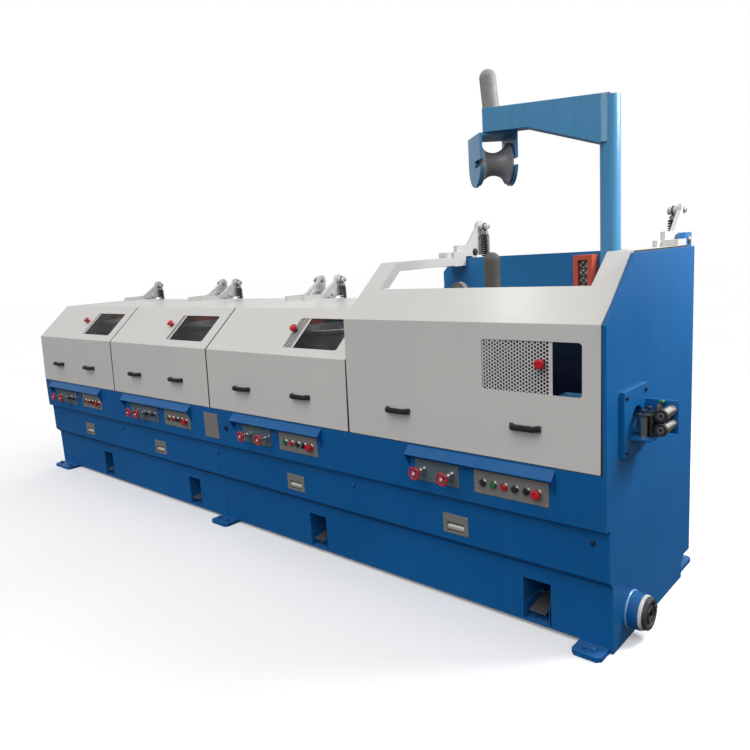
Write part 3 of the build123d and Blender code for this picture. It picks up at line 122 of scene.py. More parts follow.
def panel_at(x, z, y=FRONT_Y):
    """Frame on an upright face that looks at the operator."""
    return basis((1, 0, 0), (0, 0, 1), (0, -1, 0), (x, y, z))


def end_at(y, z, x=RIGHT_X, side=1):
    """Frame on an upright face that looks along the row: to the right, or to the left with side -1."""
    return basis((0, side, 0), (0, 0, 1), (side, 0, 0), (x, y, z))


def floor_at(x, y, z):
    """Frame on a level face."""
    return Matrix.Translation((x, y, z))


# Camera at the photograph's angle
FOCAL_PIXELS = 680.79
PHOTO_WIDE = 750
SENSOR = 36.0
CAMERA_AZIMUTH = radians(42.3546)
CAMERA_HEIGHT_ANGLE = radians(10.1851)
CAMERA_ROLL = radians(-3.7221)
CAMERA_AT = (3.2227, -2.65795, 1.5177)


def place_camera():
    """Camera from the angles solved on the machine's straight edges."""
    flat = cos(CAMERA_HEIGHT_ANGLE)
    back = Vector((sin(CAMERA_AZIMUTH) * flat, -cos(CAMERA_AZIMUTH) * flat, sin(CAMERA_HEIGHT_ANGLE)))
    right = (-back).cross(Vector((0, 0, 1))).normalized()
    up = right.cross(-back)
    turned_right = cos(CAMERA_ROLL) * right + sin(CAMERA_ROLL) * up
    turned_up = -sin(CAMERA_ROLL) * right + cos(CAMERA_ROLL) * up
    data = bpy.data.cameras.new("photo_camera")
    data.sensor_width = SENSOR
    data.lens = FOCAL_PIXELS * SENSOR / PHOTO_WIDE
    camera = bpy.data.objects.new("photo_camera", data)
    camera.matrix_world = basis(turned_right, turned_up, back, CAMERA_AT)
    bpy.context.scene.collection.objects.link(camera)
    bpy.context.scene.camera = camera


place_camera()


# Mesh helpers: each adds to a bmesh, in the frame of a matrix where one is given
def ring_points(radius, count, start=0.0):
    """Points evenly spaced on a circle."""
    turns = [start + 2 * pi * k / count for k in range(count)]
    return [(radius * cos(t), radius * sin(t)) for t in turns]


def add_verts(bm, matrix, points):
    """New vertices at points given in a matrix's frame."""
    return [bm.verts.new(matrix @ Vector(p)) for p in points]


def join_rings(bm, rings, closed=False, capped=True):
    """Skin from ring to ring, back to the first one where closed, else with a cap at each end."""
    faces = []
    for lower, upper in zip(rings, rings[1:] + rings[:1] if closed else rings[1:]):
        for k in range(len(lower)):
            following = (k + 1) % len(lower)
            corners = dict.fromkeys((lower[k], lower[following], upper[following], upper[k]))
            if len(corners) > 2:
                faces.append(bm.faces.new(list(corners)))
    if capped and not closed:
        faces += [bm.faces.new(rings[0][::-1]), bm.faces.new(rings[-1])]
    return faces


def add_prism(bm, matrix, outline, low, high, bevel=0.0):
    """Straight solid over an outline between two heights, with rounded edges where a bevel is given."""
    faces = join_rings(bm, [add_verts(bm, matrix, [(x, y, z) for x, y in outline]) for z in (low, high)])
    if bevel:
        edges = list({edge for face in faces for edge in face.edges})
        bmesh.ops.bevel(bm, geom=edges, offset=bevel, segments=2, affect="EDGES", profile=0.5)


def add_block(bm, matrix, low, high, bevel=0.0):
    """Box between two corners."""
    (x0, y0, z0), (x1, y1, z1) = low, high
    add_prism(bm, matrix, [(x0, y0), (x1, y0), (x1, y1), (x0, y1)], z0, z1, bevel)


def add_box(bm, low, high, bevel=0.0):
    """Box between two corners in the machine's own axes."""
    add_block(bm, Matrix.Identity(4), low, high, bevel)


def add_nut(bm, matrix, radius, low, high, bevel, start=0.0):
    """Hexagon between two heights with rounded edges."""
    add_prism(bm, matrix, ring_points(radius, 6, start), low, high, bevel)


def add_lathe(bm, matrix, profile, steps):
    """Solid turned about a matrix's z axis from (radius, height) points."""
    rings = []
    for radius, height in profile:
        if radius:
            rings.append(add_verts(bm, matrix, [(x, y, height) for x, y in ring_points(radius, steps)]))
        else:
            rings.append(add_verts(bm, matrix, [(0, 0, height)]) * steps)
    join_rings(bm, rings, capped=False)


def add_sweep(bm, points, radius, sides, closed=False):
    """Round bar along a list of points, capped unless it is closed."""
    count = len(points)
    spots = [Vector(p) for p in points]
    rings = []
    side = None
    for k, spot in enumerate(spots):
        before = spots[k - 1] if closed or k else spot
        after = spots[(k + 1) % count] if closed or k < count - 1 else spot
        along = (after - before).normalized()
        if side is None:
            side = along.orthogonal().normalized()
        side = (side - along * side.dot(along)).normalized()
        other = along.cross(side)
        rings.append([bm.verts.new(spot + px * side + py * other) for px, py in ring_points(radius, sides)])
    join_rings(bm, rings, closed)


def add_hex(bm, matrix, radius, high, washer):
    """Hexagon bolt head with a chamfered top, on a washer."""
    base = 0.22 * high
    shoulder = base + 0.86 * high
    add_lathe(bm, matrix, [(0, 0), (washer, 0), (washer, base), (0, base)], 20)
    add_prism(bm, matrix, ring_points(radius, 6), base, shoulder)
    add_lathe(bm, matrix, [(0.84 * radius, shoulder), (0.74 * radius, base + high), (0, base + high)], 18)


def add_socket_screw(bm, matrix, radius, high):
    """Round screw head with a sunk hexagon."""
    sunk = 0.45 * high
    profile = [(0, 0), (radius, 0), (radius, 0.85 * high), (0.88 * radius, high), (0.52 * radius, high),
               (0.48 * radius, sunk), (0, sunk)]
    add_lathe(bm, matrix, profile, 18)


def add_rivet(bm, matrix, radius, high):
    """Low domed rivet or screw head."""
    dome = [(radius * cos(a), high * sin(a)) for a in (0, pi / 8, pi / 4, 3 * pi / 8)]
    add_lathe(bm, matrix, [(0, 0)] + dome + [(0, high)], 14)


# Materials by name: each Shader adds its own
LOOKS = {}
SHARP = radians(35)


def make_piece(name, bm, look, body="frame", replaced=(), smooth=True):
    """Turn a finished bmesh into a piece that rides on a body."""
    bmesh.ops.recalc_face_normals(bm, faces=bm.faces)
    mesh = bpy.data.meshes.new(name)
    bm.to_mesh(mesh)
    bm.free()
    piece = bpy.data.objects.new(name, mesh)
    bpy.context.scene.collection.objects.link(piece)
    mesh.materials.append(LOOKS[look])
    if smooth:
        mesh.shade_smooth()
        mesh.set_sharp_from_angle(angle=SHARP)
    if body:
        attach(piece, body)
    if replaced:
        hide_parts(*replaced)
    return piece


# Sockets of the mix node that carry colours
MIX_FIRST = 6
MIX_SECOND = 7
MIX_RESULT = 2


def add_node(tree, kind, inputs, output=0, **settings):
    """New node whose inputs are numbers or linked sockets; gives one of its outputs."""
    made = tree.nodes.new(kind)
    for key, value in settings.items():
        setattr(made, key, value)
    for key, value in inputs.items():
        if isinstance(value, bpy.types.NodeSocket):
            tree.links.new(value, made.inputs[key])
        else:
            made.inputs[key].default_value = value
    return made.outputs[output]


def add_span(tree, value, low, high, to_low=0.0, to_high=1.0):
    """Value mapped from one range to another and held there."""
    return add_node(tree, "ShaderNodeMapRange", dict(enumerate((value, low, high, to_low, to_high))))


class Shader:
    """Small builder for one node material around its shader."""

    def __init__(self, name):
        material = LOOKS[name] = bpy.data.materials.new(name)
        material.use_nodes = True
        self.tree = material.node_tree
        self.shader = self.tree.nodes["Principled BSDF"]
        self.place = add_node(self.tree, "ShaderNodeTexCoord", {}, "Object")

    def noise(self, scale, detail=4.0, rough=0.55, stretch=None, distortion=0.0):
        """Noise value over the place, stretched along the axes where that is given."""
        place = self.place
        if stretch:
            place = add_node(self.tree, "ShaderNodeMapping", {"Vector": place, "Scale": stretch})
        inputs = {"Vector": place, "Scale": scale, "Detail": detail, "Roughness": rough,
                  "Distortion": distortion}
        return add_node(self.tree, "ShaderNodeTexNoise", inputs, "Fac")

    def span(self, value, low, high, to_low=0.0, to_high=1.0):
        return add_span(self.tree, value, low, high, to_low, to_high)

    def maths(self, operation, first, second):
        """One sum of two values or numbers."""
        return add_node(self.tree, "ShaderNodeMath", {0: first, 1: second}, operation=operation)

    def mix(self, share, first, second):
        """Colour between two colours or sockets."""
        first, second = [(*item, 1.0) if isinstance(item, tuple) else item for item in (first, second)]
        inputs = {"Factor": share, MIX_FIRST: first, MIX_SECOND: second}
        return add_node(self.tree, "ShaderNodeMix", inputs, MIX_RESULT, data_type="RGBA")

    def link(self, socket, name):
        """A value that drives one of the shader's own sockets."""
        self.tree.links.new(socket, self.shader.inputs[name])

    def bump(self, height, strength, distance, edge=0.0):
        """Bump from a height, over edges of plate rounded by a radius."""
        inputs = {"Strength": strength, "Distance": distance, "Height": height}
        if edge:
            inputs["Normal"] = add_node(self.tree, "ShaderNodeBevel", {"Radius": edge}, samples=6)
        self.link(add_node(self.tree, "ShaderNodeBump", inputs), "Normal")

    def set(self, **values):
        """Numbers that are the same all over, on the shader's own sockets."""
        for key, value in values.items():
            self.shader.inputs[key.replace("_", " ")].default_value = value


def facing_up(s):
    """How far a face looks up, from 0 on the walls to 1 on the level."""
    normal = add_node(s.tree, "ShaderNodeNewGeometry", {}, "Normal")
    return s.span(add_node(s.tree, "ShaderNodeSeparateXYZ", {0: normal}, "Z"), 0.05, 0.85)


DUST = (0.10, 0.15, 0.20)
PALE_DUST = (0.46, 0.45, 0.43)


def paint(name, colour, shade, dust_and_glint=DUST, rough=0.30, wear=0.30, peel=0.10, edge=0.0022, gloss=0.20,
          settle=0.30, streak=0.0, grain=170.0, vary=0.17):
    """Machine enamel: slow drifts of tone, orange peel, handling marks and dust on level faces; on the weld
    paint that pale level-face colour is a painted highlight.
    """
    s = Shader(name)
    drift = s.span(s.noise(1.4, 3.0, 0.5), 0.32, 0.70)
    base = s.mix(drift, colour, shade)
    marks = s.span(s.noise(9.0, 7.0, 0.68, distortion=0.6), 0.62, 0.80, 0.0, wear)
    marked = s.mix(marks, base, tuple(0.60 * c for c in shade))
    runs = s.span(s.noise(5.0, 5.0, 0.6, stretch=(4.0, 4.0, 0.5)), 0.50, 0.80, 0.0, min(0.05, wear))
    streaked = s.mix(runs, marked, dust_and_glint)
    if streak:
        lines = s.span(s.noise(4.0, 4.0, 0.6, stretch=(9.0, 9.0, 0.25)), 0.48, 0.70, 0.0, streak)
        streaked = s.mix(lines, streaked, tuple(0.55 * c for c in shade))
    settled_dust_and_glint = s.maths("MULTIPLY", facing_up(s), s.span(s.noise(14.0, 6.0, 0.7), 0.30, 0.72, 0.04, settle))
    s.link(s.mix(settled_dust_and_glint, streaked, dust_and_glint), "Base Color")
    sheen = s.span(s.noise(5.0, 5.0, 0.6), 0.3, 0.75, rough - 0.05, rough - 0.05 + vary)
    s.link(s.maths("ADD", sheen, s.maths("MULTIPLY", settled_dust_and_glint, 0.25)), "Roughness")
    s.bump(s.noise(grain, 2.0, 0.5), peel, 0.0012, edge)
    s.set(Specular_IOR_Level=gloss)


def metal(name, colour, dark, rough, brushed=(1.0, 1.0, 1.0), grain=160.0, strength=0.12, bare=1.0):
    """Bare or plated metal with brushed or turned grain and darker handling marks."""
    s = Shader(name)
    lines = s.noise(grain, 3.0, 0.6, stretch=brushed)
    stain = s.span(s.noise(22.0, 6.0, 0.65), 0.48, 0.80, 0.0, 0.8)
    tone = s.mix(s.span(lines, 0.3, 0.7, 0.0, 0.35), colour, dark)
    s.link(s.mix(stain, tone, dark), "Base Color")
    sheen = s.span(lines, 0.3, 0.7, rough, rough + 0.14)
    s.link(s.maths("ADD", sheen, s.maths("MULTIPLY", stain, 0.22)), "Roughness")
    s.bump(lines, strength, 0.0006, 0.0008)
    s.set(Metallic=bare)


def dull(name, colour, worn, rough, strength=0.25, grain=260.0, scale=18.0):
    """Rubber, moulded plastic or raw dark iron: fine grain with paler worn patches."""
    s = Shader(name)
    patches = s.span(s.noise(scale, 6.0, 0.65), 0.45, 0.75)
    s.link(s.mix(patches, colour, worn), "Base Color")
    s.link(s.span(s.noise(scale * 1.7, 4.0), 0.3, 0.7, rough - 0.10, rough + 0.14), "Roughness")
    s.bump(s.noise(grain, 3.0, 0.6), strength, 0.0008, 0.0012)


def smoked(name):
    """Smoked clear sheet with faint wipe marks."""
    s = Shader(name)
    smear = s.span(s.noise(7.0, 6.0, 0.65, stretch=(1.0, 3.0, 3.0)), 0.45, 0.8)
    s.link(s.mix(smear, (0.010, 0.011, 0.014), (0.030, 0.031, 0.034)), "Base Color")
    s.link(s.span(s.noise(9.0, 5.0), 0.35, 0.7, 0.04, 0.16), "Roughness")
    s.set(Alpha=0.30, Specular_IOR_Level=0.4)


paint("blue_front", (0.005, 0.108, 0.330), (0.004, 0.092, 0.290))
paint("blue_end", (0.007, 0.118, 0.335), (0.005, 0.100, 0.295))
# Paler copy of the blue for the rear wall: painted light, as the wall's own paint is the same blue.
paint("blue_wall_painted_light", (0.026, 0.176, 0.415), (0.020, 0.152, 0.370))
paint("jib_blue", (0.080, 0.300, 0.540), (0.062, 0.250, 0.470), rough=0.28, gloss=0.4, streak=0.22)
paint("hood_cream", (0.610, 0.596, 0.578), (0.575, 0.562, 0.548), PALE_DUST, rough=0.26, wear=0.012,
      peel=0.045, edge=0.0018, gloss=0.45, settle=0.05, grain=60.0, vary=0.05)
paint("grille_cream", (0.590, 0.578, 0.562), (0.560, 0.548, 0.532), PALE_DUST, rough=0.38, wear=0.03,
      peel=0.03, edge=0.0, gloss=0.35, settle=0.10)
paint("orange_paint", (0.60, 0.112, 0.064), (0.50, 0.086, 0.050), (0.20, 0.14, 0.11), rough=0.38)
paint("green_plate", (0.112, 0.158, 0.186), (0.088, 0.126, 0.150), rough=0.35, wear=0.20, peel=0.04,
      edge=0.0008)
paint("navy_paint", (0.004, 0.036, 0.115), (0.003, 0.028, 0.090), gloss=0.4)
# Weld paint: lighter than the blue around it and near-white on faces that look up, a painted highlight of
# the bead's glints.
paint("weld_painted_highlight", (0.17, 0.38, 0.60), (0.12, 0.32, 0.54), (0.60, 0.68, 0.74), rough=0.20, wear=0.0,
      peel=0.05, edge=0.0, gloss=1.0)
metal("stainless", (0.33, 0.320, 0.308), (0.21, 0.204, 0.196), 0.34, (1.0, 40.0, 40.0), 9.0, bare=0.45)
metal("fitting_chrome", (0.72, 0.72, 0.73), (0.30, 0.30, 0.31), 0.10, strength=0.04)
metal("roller_chrome", (0.66, 0.63, 0.58), (0.22, 0.21, 0.20), 0.16, (30.0, 30.0, 1.0), 8.0)
metal("block_steel", (0.48, 0.49, 0.50), (0.17, 0.17, 0.175), 0.22, (1.0, 1.0, 36.0), 10.0)
metal("sheave_steel", (0.50, 0.49, 0.48), (0.12, 0.12, 0.12), 0.30)
metal("spring_steel", (0.070, 0.069, 0.068), (0.028, 0.028, 0.028), 0.34, bare=0.5)
metal("zinc_bolt", (0.46, 0.46, 0.45), (0.18, 0.17, 0.16), 0.34)
metal("pedal_grey", (0.34, 0.335, 0.33), (0.12, 0.12, 0.12), 0.42)
# Pale metal of the pull rolls: a painted highlight, lighter than the metal to stand for the cup's bright
# reflection.
metal("roll_painted_highlight", (0.66, 0.64, 0.58), (0.40, 0.385, 0.35), 0.22, (1.0, 30.0, 30.0), 9.0, bare=0.35)
dull("dark_iron", (0.030, 0.030, 0.031), (0.075, 0.072, 0.068), 0.50)
dull("black_iron", (0.018, 0.018, 0.019), (0.055, 0.052, 0.050), 0.42)
dull("navy_iron", (0.006, 0.012, 0.030), (0.012, 0.024, 0.052), 0.34, 0.10)
dull("cast_iron", (0.030, 0.031, 0.034), (0.085, 0.086, 0.090), 0.42, 0.6, grain=70.0)
dull("post_grey", (0.088, 0.082, 0.070), (0.130, 0.122, 0.108), 0.62, 0.15)
# Paler copy of the post grey for the jib post: partly its own tone, partly painted light for the light it
# gets.
dull("post_pale_partly_painted_light", (0.255, 0.252, 0.246), (0.335, 0.332, 0.326), 0.55, 0.15)
dull("pulley_grey", (0.275, 0.278, 0.290), (0.205, 0.206, 0.214), 0.30, 0.03, scale=6.0)
dull("grip_black", (0.014, 0.014, 0.015), (0.030, 0.030, 0.031), 0.42, 0.12)
dull("gasket_black", (0.012, 0.012, 0.013), (0.030, 0.030, 0.031), 0.60)
dull("red_enamel", (0.52, 0.012, 0.022), (0.36, 0.010, 0.018), 0.24, 0.04)
dull("cap_green", (0.020, 0.150, 0.060), (0.014, 0.100, 0.042), 0.30, 0.04)
dull("cap_black", (0.014, 0.014, 0.015), (0.028, 0.028, 0.029), 0.30, 0.04)
dull("white_plastic", (0.62, 0.62, 0.60), (0.50, 0.50, 0.48), 0.38, 0.05)
dull("thread_tape", (0.60, 0.60, 0.58), (0.34, 0.33, 0.31), 0.55, 0.5, grain=420.0)
smoked("smoked_pane")

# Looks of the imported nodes: their slot's, apart from one slot and two nodes
LOOKS["switch_plastic"] = LOOKS["cap_black"]
NODE_LOOKS = {"jib_post": "post_pale_partly_painted_light", "rear_wall": "blue_wall_painted_light"}
for part in frame["record"]["subparts"]:
    materials = NODES[part["node"]].data.materials
    materials.clear()
    materials.append(LOOKS[NODE_LOOKS.get(part["node"], part["material_slot"])])

# Black seals in the seams between the hoods and along the deck
SEAL_PLAY = 0.0008
SEAL_SUNK = 0.001
SEAL_THICK = 0.008
SEAL_LIP = 0.0012
SEAL_INSET = 0.002
DECK_SEAL_FRONT = 0.0025
DECK_SEAL_BACK = 0.016
DECK_SEAL_LOW = 0.0002
DECK_SEAL_PLAY = 0.0003
OVERLAP = 0.0001


def inset_path(points, depth):
    """Section points moved in from the outer face by a depth."""
    inward = [Vector((b[1] - a[1], a[0] - b[0])).normalized() for a, b in zip(points, points[1:])]
    moved = []
    for point, before, after in zip(points, inward[:1] + inward, inward + inward[-1:]):
        mean = (before + after) / 2
        moved.append(Vector(point) + mean * (depth / mean.length_squared))
    return moved


def add_section_strip(bm, points, x0, x1):
    """Sunk strip that follows a hood's section between two x."""
    outer = inset_path(points, SEAL_SUNK)
    inner = inset_path(points, SEAL_SUNK + SEAL_THICK)
    rows = []
    for (oy, oz), (iy, iz) in zip(outer, inner):
        rows.append([bm.verts.new(p) for p in ((x0, oy, oz), (x1, oy, oz), (x1, iy, iz), (x0, iy, iz))])
    join_rings(bm, rows)


def seam_room(module):
    """Width for the seal on a hood's right, halved where the hood swings past the tall wall."""
    if module == LAST:
        return END_GAP
    return SEAM / 2 if module == LAST - 1 else SEAM


def make_seals():
    """One seal on the right-hand face of each hood, and the strip each hood rests on."""
    for module in MODULES:
        left, right = hood_ends(module)
        bm = bmesh.new()
        add_section_strip(bm, hood_section(module), right, right + seam_room(module) - SEAL_PLAY)
        make_piece(f"seam_seal_{module + 1}", bm, "gasket_black", body=f"hood_{module + 1}", smooth=False)
        bm = bmesh.new()
        x0, x1 = left + SEAL_INSET, right - SEAL_INSET
        front, low = FRONT_Y + DECK_SEAL_FRONT, DECK_Z + DECK_SEAL_LOW
        add_box(bm, (x0, front, low), (x1, FRONT_Y + DECK_SEAL_BACK, HOOD_LOW_Z - DECK_SEAL_PLAY))
        add_box(bm, (x0, front - SEAL_LIP, low), (x1, front + OVERLAP, low + SEAL_LIP))
        make_piece(f"deck_seal_{module + 1}", bm, "gasket_black", smooth=False)


make_seals()

# Bridge handles and stop knobs on the hoods
GRIP_FROM_EDGE = ((0.809, 0.328), (0.801, 0.322), (0.788, 0.319), (0.928, 0.312))
GRIP_Z = 0.843
GRIP_LONG = 0.128
GRIP_OUT = 0.034
GRIP_WIDE = 0.024
GRIP_FOOT = 0.020
GRIP_FOOT_OUT = 0.012
GRIP_BAR = 0.0125
GRIP_RISE = 0.30
GRIP_SQUARE = 0.6
GRIP_STEPS = 18
GRIP_SIDES = 12
KNOB_FROM_EDGE = (0.535, 0.518, 0.470, 0.243)
KNOB_UP = 0.166
TALL_KNOB_Z = 1.086
KNOB_R = 0.020
KNOB_OUT = 0.030
COLLAR = 0.002
COLLAR_PROFILE = [(0, 0), (0.0145, 0), (0.0145, 0.003), (0.012, 0.004), (0, 0.004)]
CUT_RIGHT = (0.092, 0.089, 0.098, 0.090)
CUT_WIDE = (0.386, 0.386, 0.386, 0.410)

# A mushroom knob's section, as shares of its radius and of its reach
KNOB_SHAPE = ((0, 0), (0.55, 0), (0.55, 0.45), (0.9, 0.50), (1, 0.62), (1, 0.80), (0.90, 0.93),
              (0.66, 1), (0.30, 0.97), (0, 0.955))


def squared(value):
    """Sine or cosine pushed out towards a rounded square."""
    return copysign(abs(value) ** GRIP_SQUARE, value)


def add_handle(bm, matrix):
    """Moulded bridge handle: two feet and a bar that bows outward between them."""
    half = GRIP_LONG / 2
    rows = []
    for k in range(GRIP_STEPS + 1):
        share = k / GRIP_STEPS
        x = share * GRIP_LONG - half
        lift = min(1.0, (1 - abs(2 * share - 1)) / GRIP_RISE)
        rise = min(1.0, 1.5 * lift * lift * (3 - 2 * lift))
        outer = GRIP_FOOT_OUT + (GRIP_OUT - GRIP_FOOT_OUT) * rise
        inner = 0.0 if abs(x) > half - GRIP_FOOT else GRIP_OUT - GRIP_BAR
        turns = [2 * pi * (a + 0.5) / GRIP_SIDES for a in range(GRIP_SIDES)]
        rows.append(add_verts(bm, matrix, [
            (x, GRIP_WIDE / 2 * squared(cos(t)), (outer + inner + (outer - inner) * squared(sin(t))) / 2)
            for t in turns]))
    join_rings(bm, rows)


def add_stop_knob(bm, matrix, radius, reach):
    """Mushroom knob with a domed, slightly dished cap."""
    add_lathe(bm, matrix, [(radius * r, reach * h) for r, h in KNOB_SHAPE], 28)


def make_hood_hardware():
    """Handles, knobs and their collars on each hood."""
    for module in MODULES:
        body = f"hood_{module + 1}"
        bm = bmesh.new()
        for back in GRIP_FROM_EDGE[module]:
            add_handle(bm, front_at(module, EDGES[module] - back, GRIP_Z))
        grips = [f"hood_grips_{module + 1}"]
        make_piece(f"bridge_handles_{module + 1}", bm, "grip_black", body, grips)
        x = EDGES[module] - KNOB_FROM_EDGE[module]
        at = front_at(module, x, TALL_KNOB_Z) if module == LAST else slant_at(module, x, KNOB_UP)
        over_cut = KNOB_FROM_EDGE[module] < CUT_RIGHT[module] + CUT_WIDE[module]
        sunk = SHEET if over_cut else 0.0
        seated = at @ Matrix.Translation((0, 0, -sunk))
        bm = bmesh.new()
        add_stop_knob(bm, seated @ Matrix.Translation((0, 0, COLLAR)), KNOB_R, KNOB_OUT + sunk - COLLAR)
        make_piece(f"stop_knob_{module + 1}", bm, "red_enamel", body)
        bm = bmesh.new()
        add_lathe(bm, seated, COLLAR_PROFILE, 24)
        make_piece(f"stop_collar_{module + 1}", bm, "grip_black", body)


make_hood_hardware()

# Perforated sheets and smoked panes behind the cut-outs
CUT_LOW = 0.051
CUT_HIGH = 0.249
TALL_CUT_Z = (0.972, 1.166)
CLEAR_WIDE = (0.359, 0.348, 0.311, 0.113)
SCREEN = 0.0012
SCREEN_LAP = 0.015
SCREEN_BORDER = 0.012
SCREEN_GAP = 0.0005
SCREEN_PLAY = 0.0001
PANE = 0.004
PANE_EDGE = 0.0003
HOLE_PITCH = 0.014
HOLE_R = (0.0058, 0.0058, 0.0058, 0.0053)
HOLE_SIDES = 12
CELL_CORNER = HOLE_PITCH / 2 / cos(pi / 6)
COLUMN_STEP = HOLE_PITCH * cos(pi / 6)


def cut_middle(module):
    """Frame at the middle of a hood's cut-out, and the cut-out's height up the sheet."""
    x = EDGES[module] - CUT_RIGHT[module] - CUT_WIDE[module] / 2
    if module == LAST:
        low, high = TALL_CUT_Z
        return front_at(module, x, (low + high) / 2), high - low
    return slant_at(module, x, (CUT_LOW + CUT_HIGH) / 2), CUT_HIGH - CUT_LOW


def add_hole_cell(bm, cx, cy, edge_x, right, hole_r):
    """Six-sided cell of sheet around a hole, widened to a straight edge where one is given."""
    cell = []
    hole = []
    for k in range(HOLE_SIDES):
        t = 2 * pi * k / HOLE_SIDES
        reach = HOLE_PITCH / 2 if k % 2 else CELL_CORNER
        x = edge_x if edge_x and cos(t) > 0.1 else cx + reach * cos(t)
        cell.append(bm.verts.new((x, cy + reach * sin(t), 0)))
        hole.append(bm.verts.new((cx + hole_r * cos(t), cy + hole_r * sin(t), 0)))
    join_rings(bm, [cell, hole], capped=False)
    if edge_x:
        right_side = [cell[k].co.y for k in (-2, -1, 0, 1, 2)]
        for low, high in zip(right_side, right_side[1:]):
            border = ((edge_x, low, 0), (right, low, 0), (right, high, 0), (edge_x, high, 0))
            bm.faces.new([bm.verts.new(p) for p in border])


def add_perforated(bm, left, right, half_high, hole_r):
    """Sheet with round holes in staggered columns and a plain strip along its right edge."""
    edge_x = right - SCREEN_BORDER
    last_x = edge_x - CELL_CORNER
    rows = round(2 * half_high / HOLE_PITCH)
    for column in range(int((last_x - CELL_CORNER - left) / COLUMN_STEP) + 1):
        cx = last_x - column * COLUMN_STEP
        count = rows - column % 2
        for row in range(count):
            cy = (row - (count - 1) / 2) * HOLE_PITCH
            add_hole_cell(bm, cx, cy, None if column else edge_x, right, hole_r)
    bmesh.ops.remove_doubles(bm, verts=bm.verts[:], dist=1e-5)
    grown = bmesh.ops.extrude_face_region(bm, geom=bm.faces[:])
    moved = [item for item in grown["geom"] if isinstance(item, bmesh.types.BMVert)]
    bmesh.ops.translate(bm, verts=moved, vec=(0, 0, -SCREEN))


def make_screens():
    """Perforated sheet of each hood, and on the small ones the pane that runs on behind it."""
    for module in MODULES:
        at, high = cut_middle(module)
        half = CUT_WIDE[module] / 2
        half_high = high / 2 + SCREEN_LAP
        left, right = -half - SCREEN_LAP, half + SCREEN_LAP
        sheet_end = half - CLEAR_WIDE[module]
        behind = at @ Matrix.Translation((0, 0, -SHEET - SCREEN_PLAY))
        body, node = f"hood_{module + 1}", f"hood_screen_{module + 1}"
        bm = bmesh.new()
        add_perforated(bm, left, sheet_end, half_high, HOLE_R[module])
        bm.transform(behind)
        make_piece(f"perforated_sheet_{module + 1}", bm, "grille_cream", body, [node],
                   smooth=False)
        if module == LAST:
            continue
        bm = bmesh.new()
        step_x, rebate = sheet_end + SCREEN_GAP, -SCREEN - SCREEN_GAP
        pane = [(left, -PANE), (right, -PANE), (right, 0), (step_x, 0), (step_x, rebate), (left, rebate)]
        add_prism(bm, behind @ Matrix.Rotation(pi / 2, 4, "X"), pane, -half_high, half_high, PANE_EDGE)
        make_piece(f"sight_pane_{module + 1}", bm, "smoked_pane", body, [node],
                   smooth=False)


make_screens()

# Counterbalance springs behind the rear wall
PIVOT_Y = REAR_Y + 0.070
PIVOT_RISE = 0.020
HEAD_Y = PIVOT_Y + 0.067
PEAK = (0.105, 0.105, 0.105, 0.150)
SPRING_LONG = (0.190, 0.190, 0.190, 0.250)
SPRING_R = 0.0240
SPRING_OUT = 0.0362
LEVER_INSET = 0.076
LEVER_THICK = 0.020
STUB_R = 0.017
STUB_LONG = 0.048
STUB_PLAY = 0.0003
PIN_PAST = 0.010
WIRE_R = 0.0034
COIL_PITCH = 0.0108
COIL_STEPS = 14
COIL_FOOT = 0.012
COIL_HEAD = 0.003
CAP_HIGH = 0.020
HOOK_R = 0.0030
SPRING_SEAT = [(0, 0), (0.0170, 0), (0.0170, 0.014), (0, 0.014)]
CAP_FOOT = -0.006 - CAP_HIGH
SPRING_CAP = [(0, CAP_FOOT), (0.0165, CAP_FOOT), (0.0165, -0.008), (0.010, -0.002), (0, -0.002)]
STUB_SCREW = (0.0085, 0.004)


def lever_places(module):
    """X of each lever and the side that faces the hood's inside."""
    left, right = hood_ends(module)
    return ((1, left + LEVER_INSET), (-1, right - LEVER_INSET))


def head_height(module):
    """Height of a hood's spring stubs."""
    return TOP_Z[module] + PEAK[module]


def spring_ends(module):
    """Heights of a hood's spring seats and of the undersides of its stubs."""
    top = head_height(module) - STUB_R - STUB_PLAY
    return top - SPRING_LONG[module], top


def coil_points(x, low, high):
    """Points along a coil about an upright line."""
    steps = round((high - low) / COIL_PITCH) * COIL_STEPS
    reach = SPRING_R - WIRE_R
    turns = [(2 * pi * k / COIL_STEPS, k / steps) for k in range(steps + 1)]
    return [(x + reach * cos(t), HEAD_Y + reach * sin(t), low + (high - low) * share) for t, share in turns]


def make_springs():
    """Coil springs between a seat on the wall and a hook on the lever, built fixed in place rather than
    stretching as a hood lifts.
    """
    for module in MODULES:
        low, top = spring_ends(module)
        head_z = head_height(module)
        body = f"hood_{module + 1}"
        coils, hooks, caps = bmesh.new(), bmesh.new(), bmesh.new()
        for side, lever_x in lever_places(module):
            x = lever_x + side * SPRING_OUT
            add_sweep(coils, coil_points(x, low + COIL_FOOT, top - CAP_HIGH - COIL_HEAD), WIRE_R, 8)
            add_lathe(coils, floor_at(x, HEAD_Y, low), SPRING_SEAT, 22)
            hook = [(x, HEAD_Y + py, head_z + pz) for py, pz in ring_points(STUB_R + HOOK_R, 28)]
            add_sweep(hooks, hook, HOOK_R, 8, closed=True)
            add_lathe(caps, floor_at(x, HEAD_Y, top), SPRING_CAP, 24)
            stub_end = lever_x + side * (LEVER_THICK / 2 + STUB_LONG)
            add_socket_screw(caps, end_at(HEAD_Y, head_z, stub_end, side), *STUB_SCREW)
        piece = make_piece(f"coil_springs_{module + 1}", coils, "spring_steel", None,
                           [f"hood_springs_{module + 1}"])
        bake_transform(piece)
        make_piece(f"spring_hooks_{module + 1}", hooks, "black_iron", body)
        make_piece(f"spring_caps_{module + 1}", caps, "zinc_bolt", body)


make_springs()

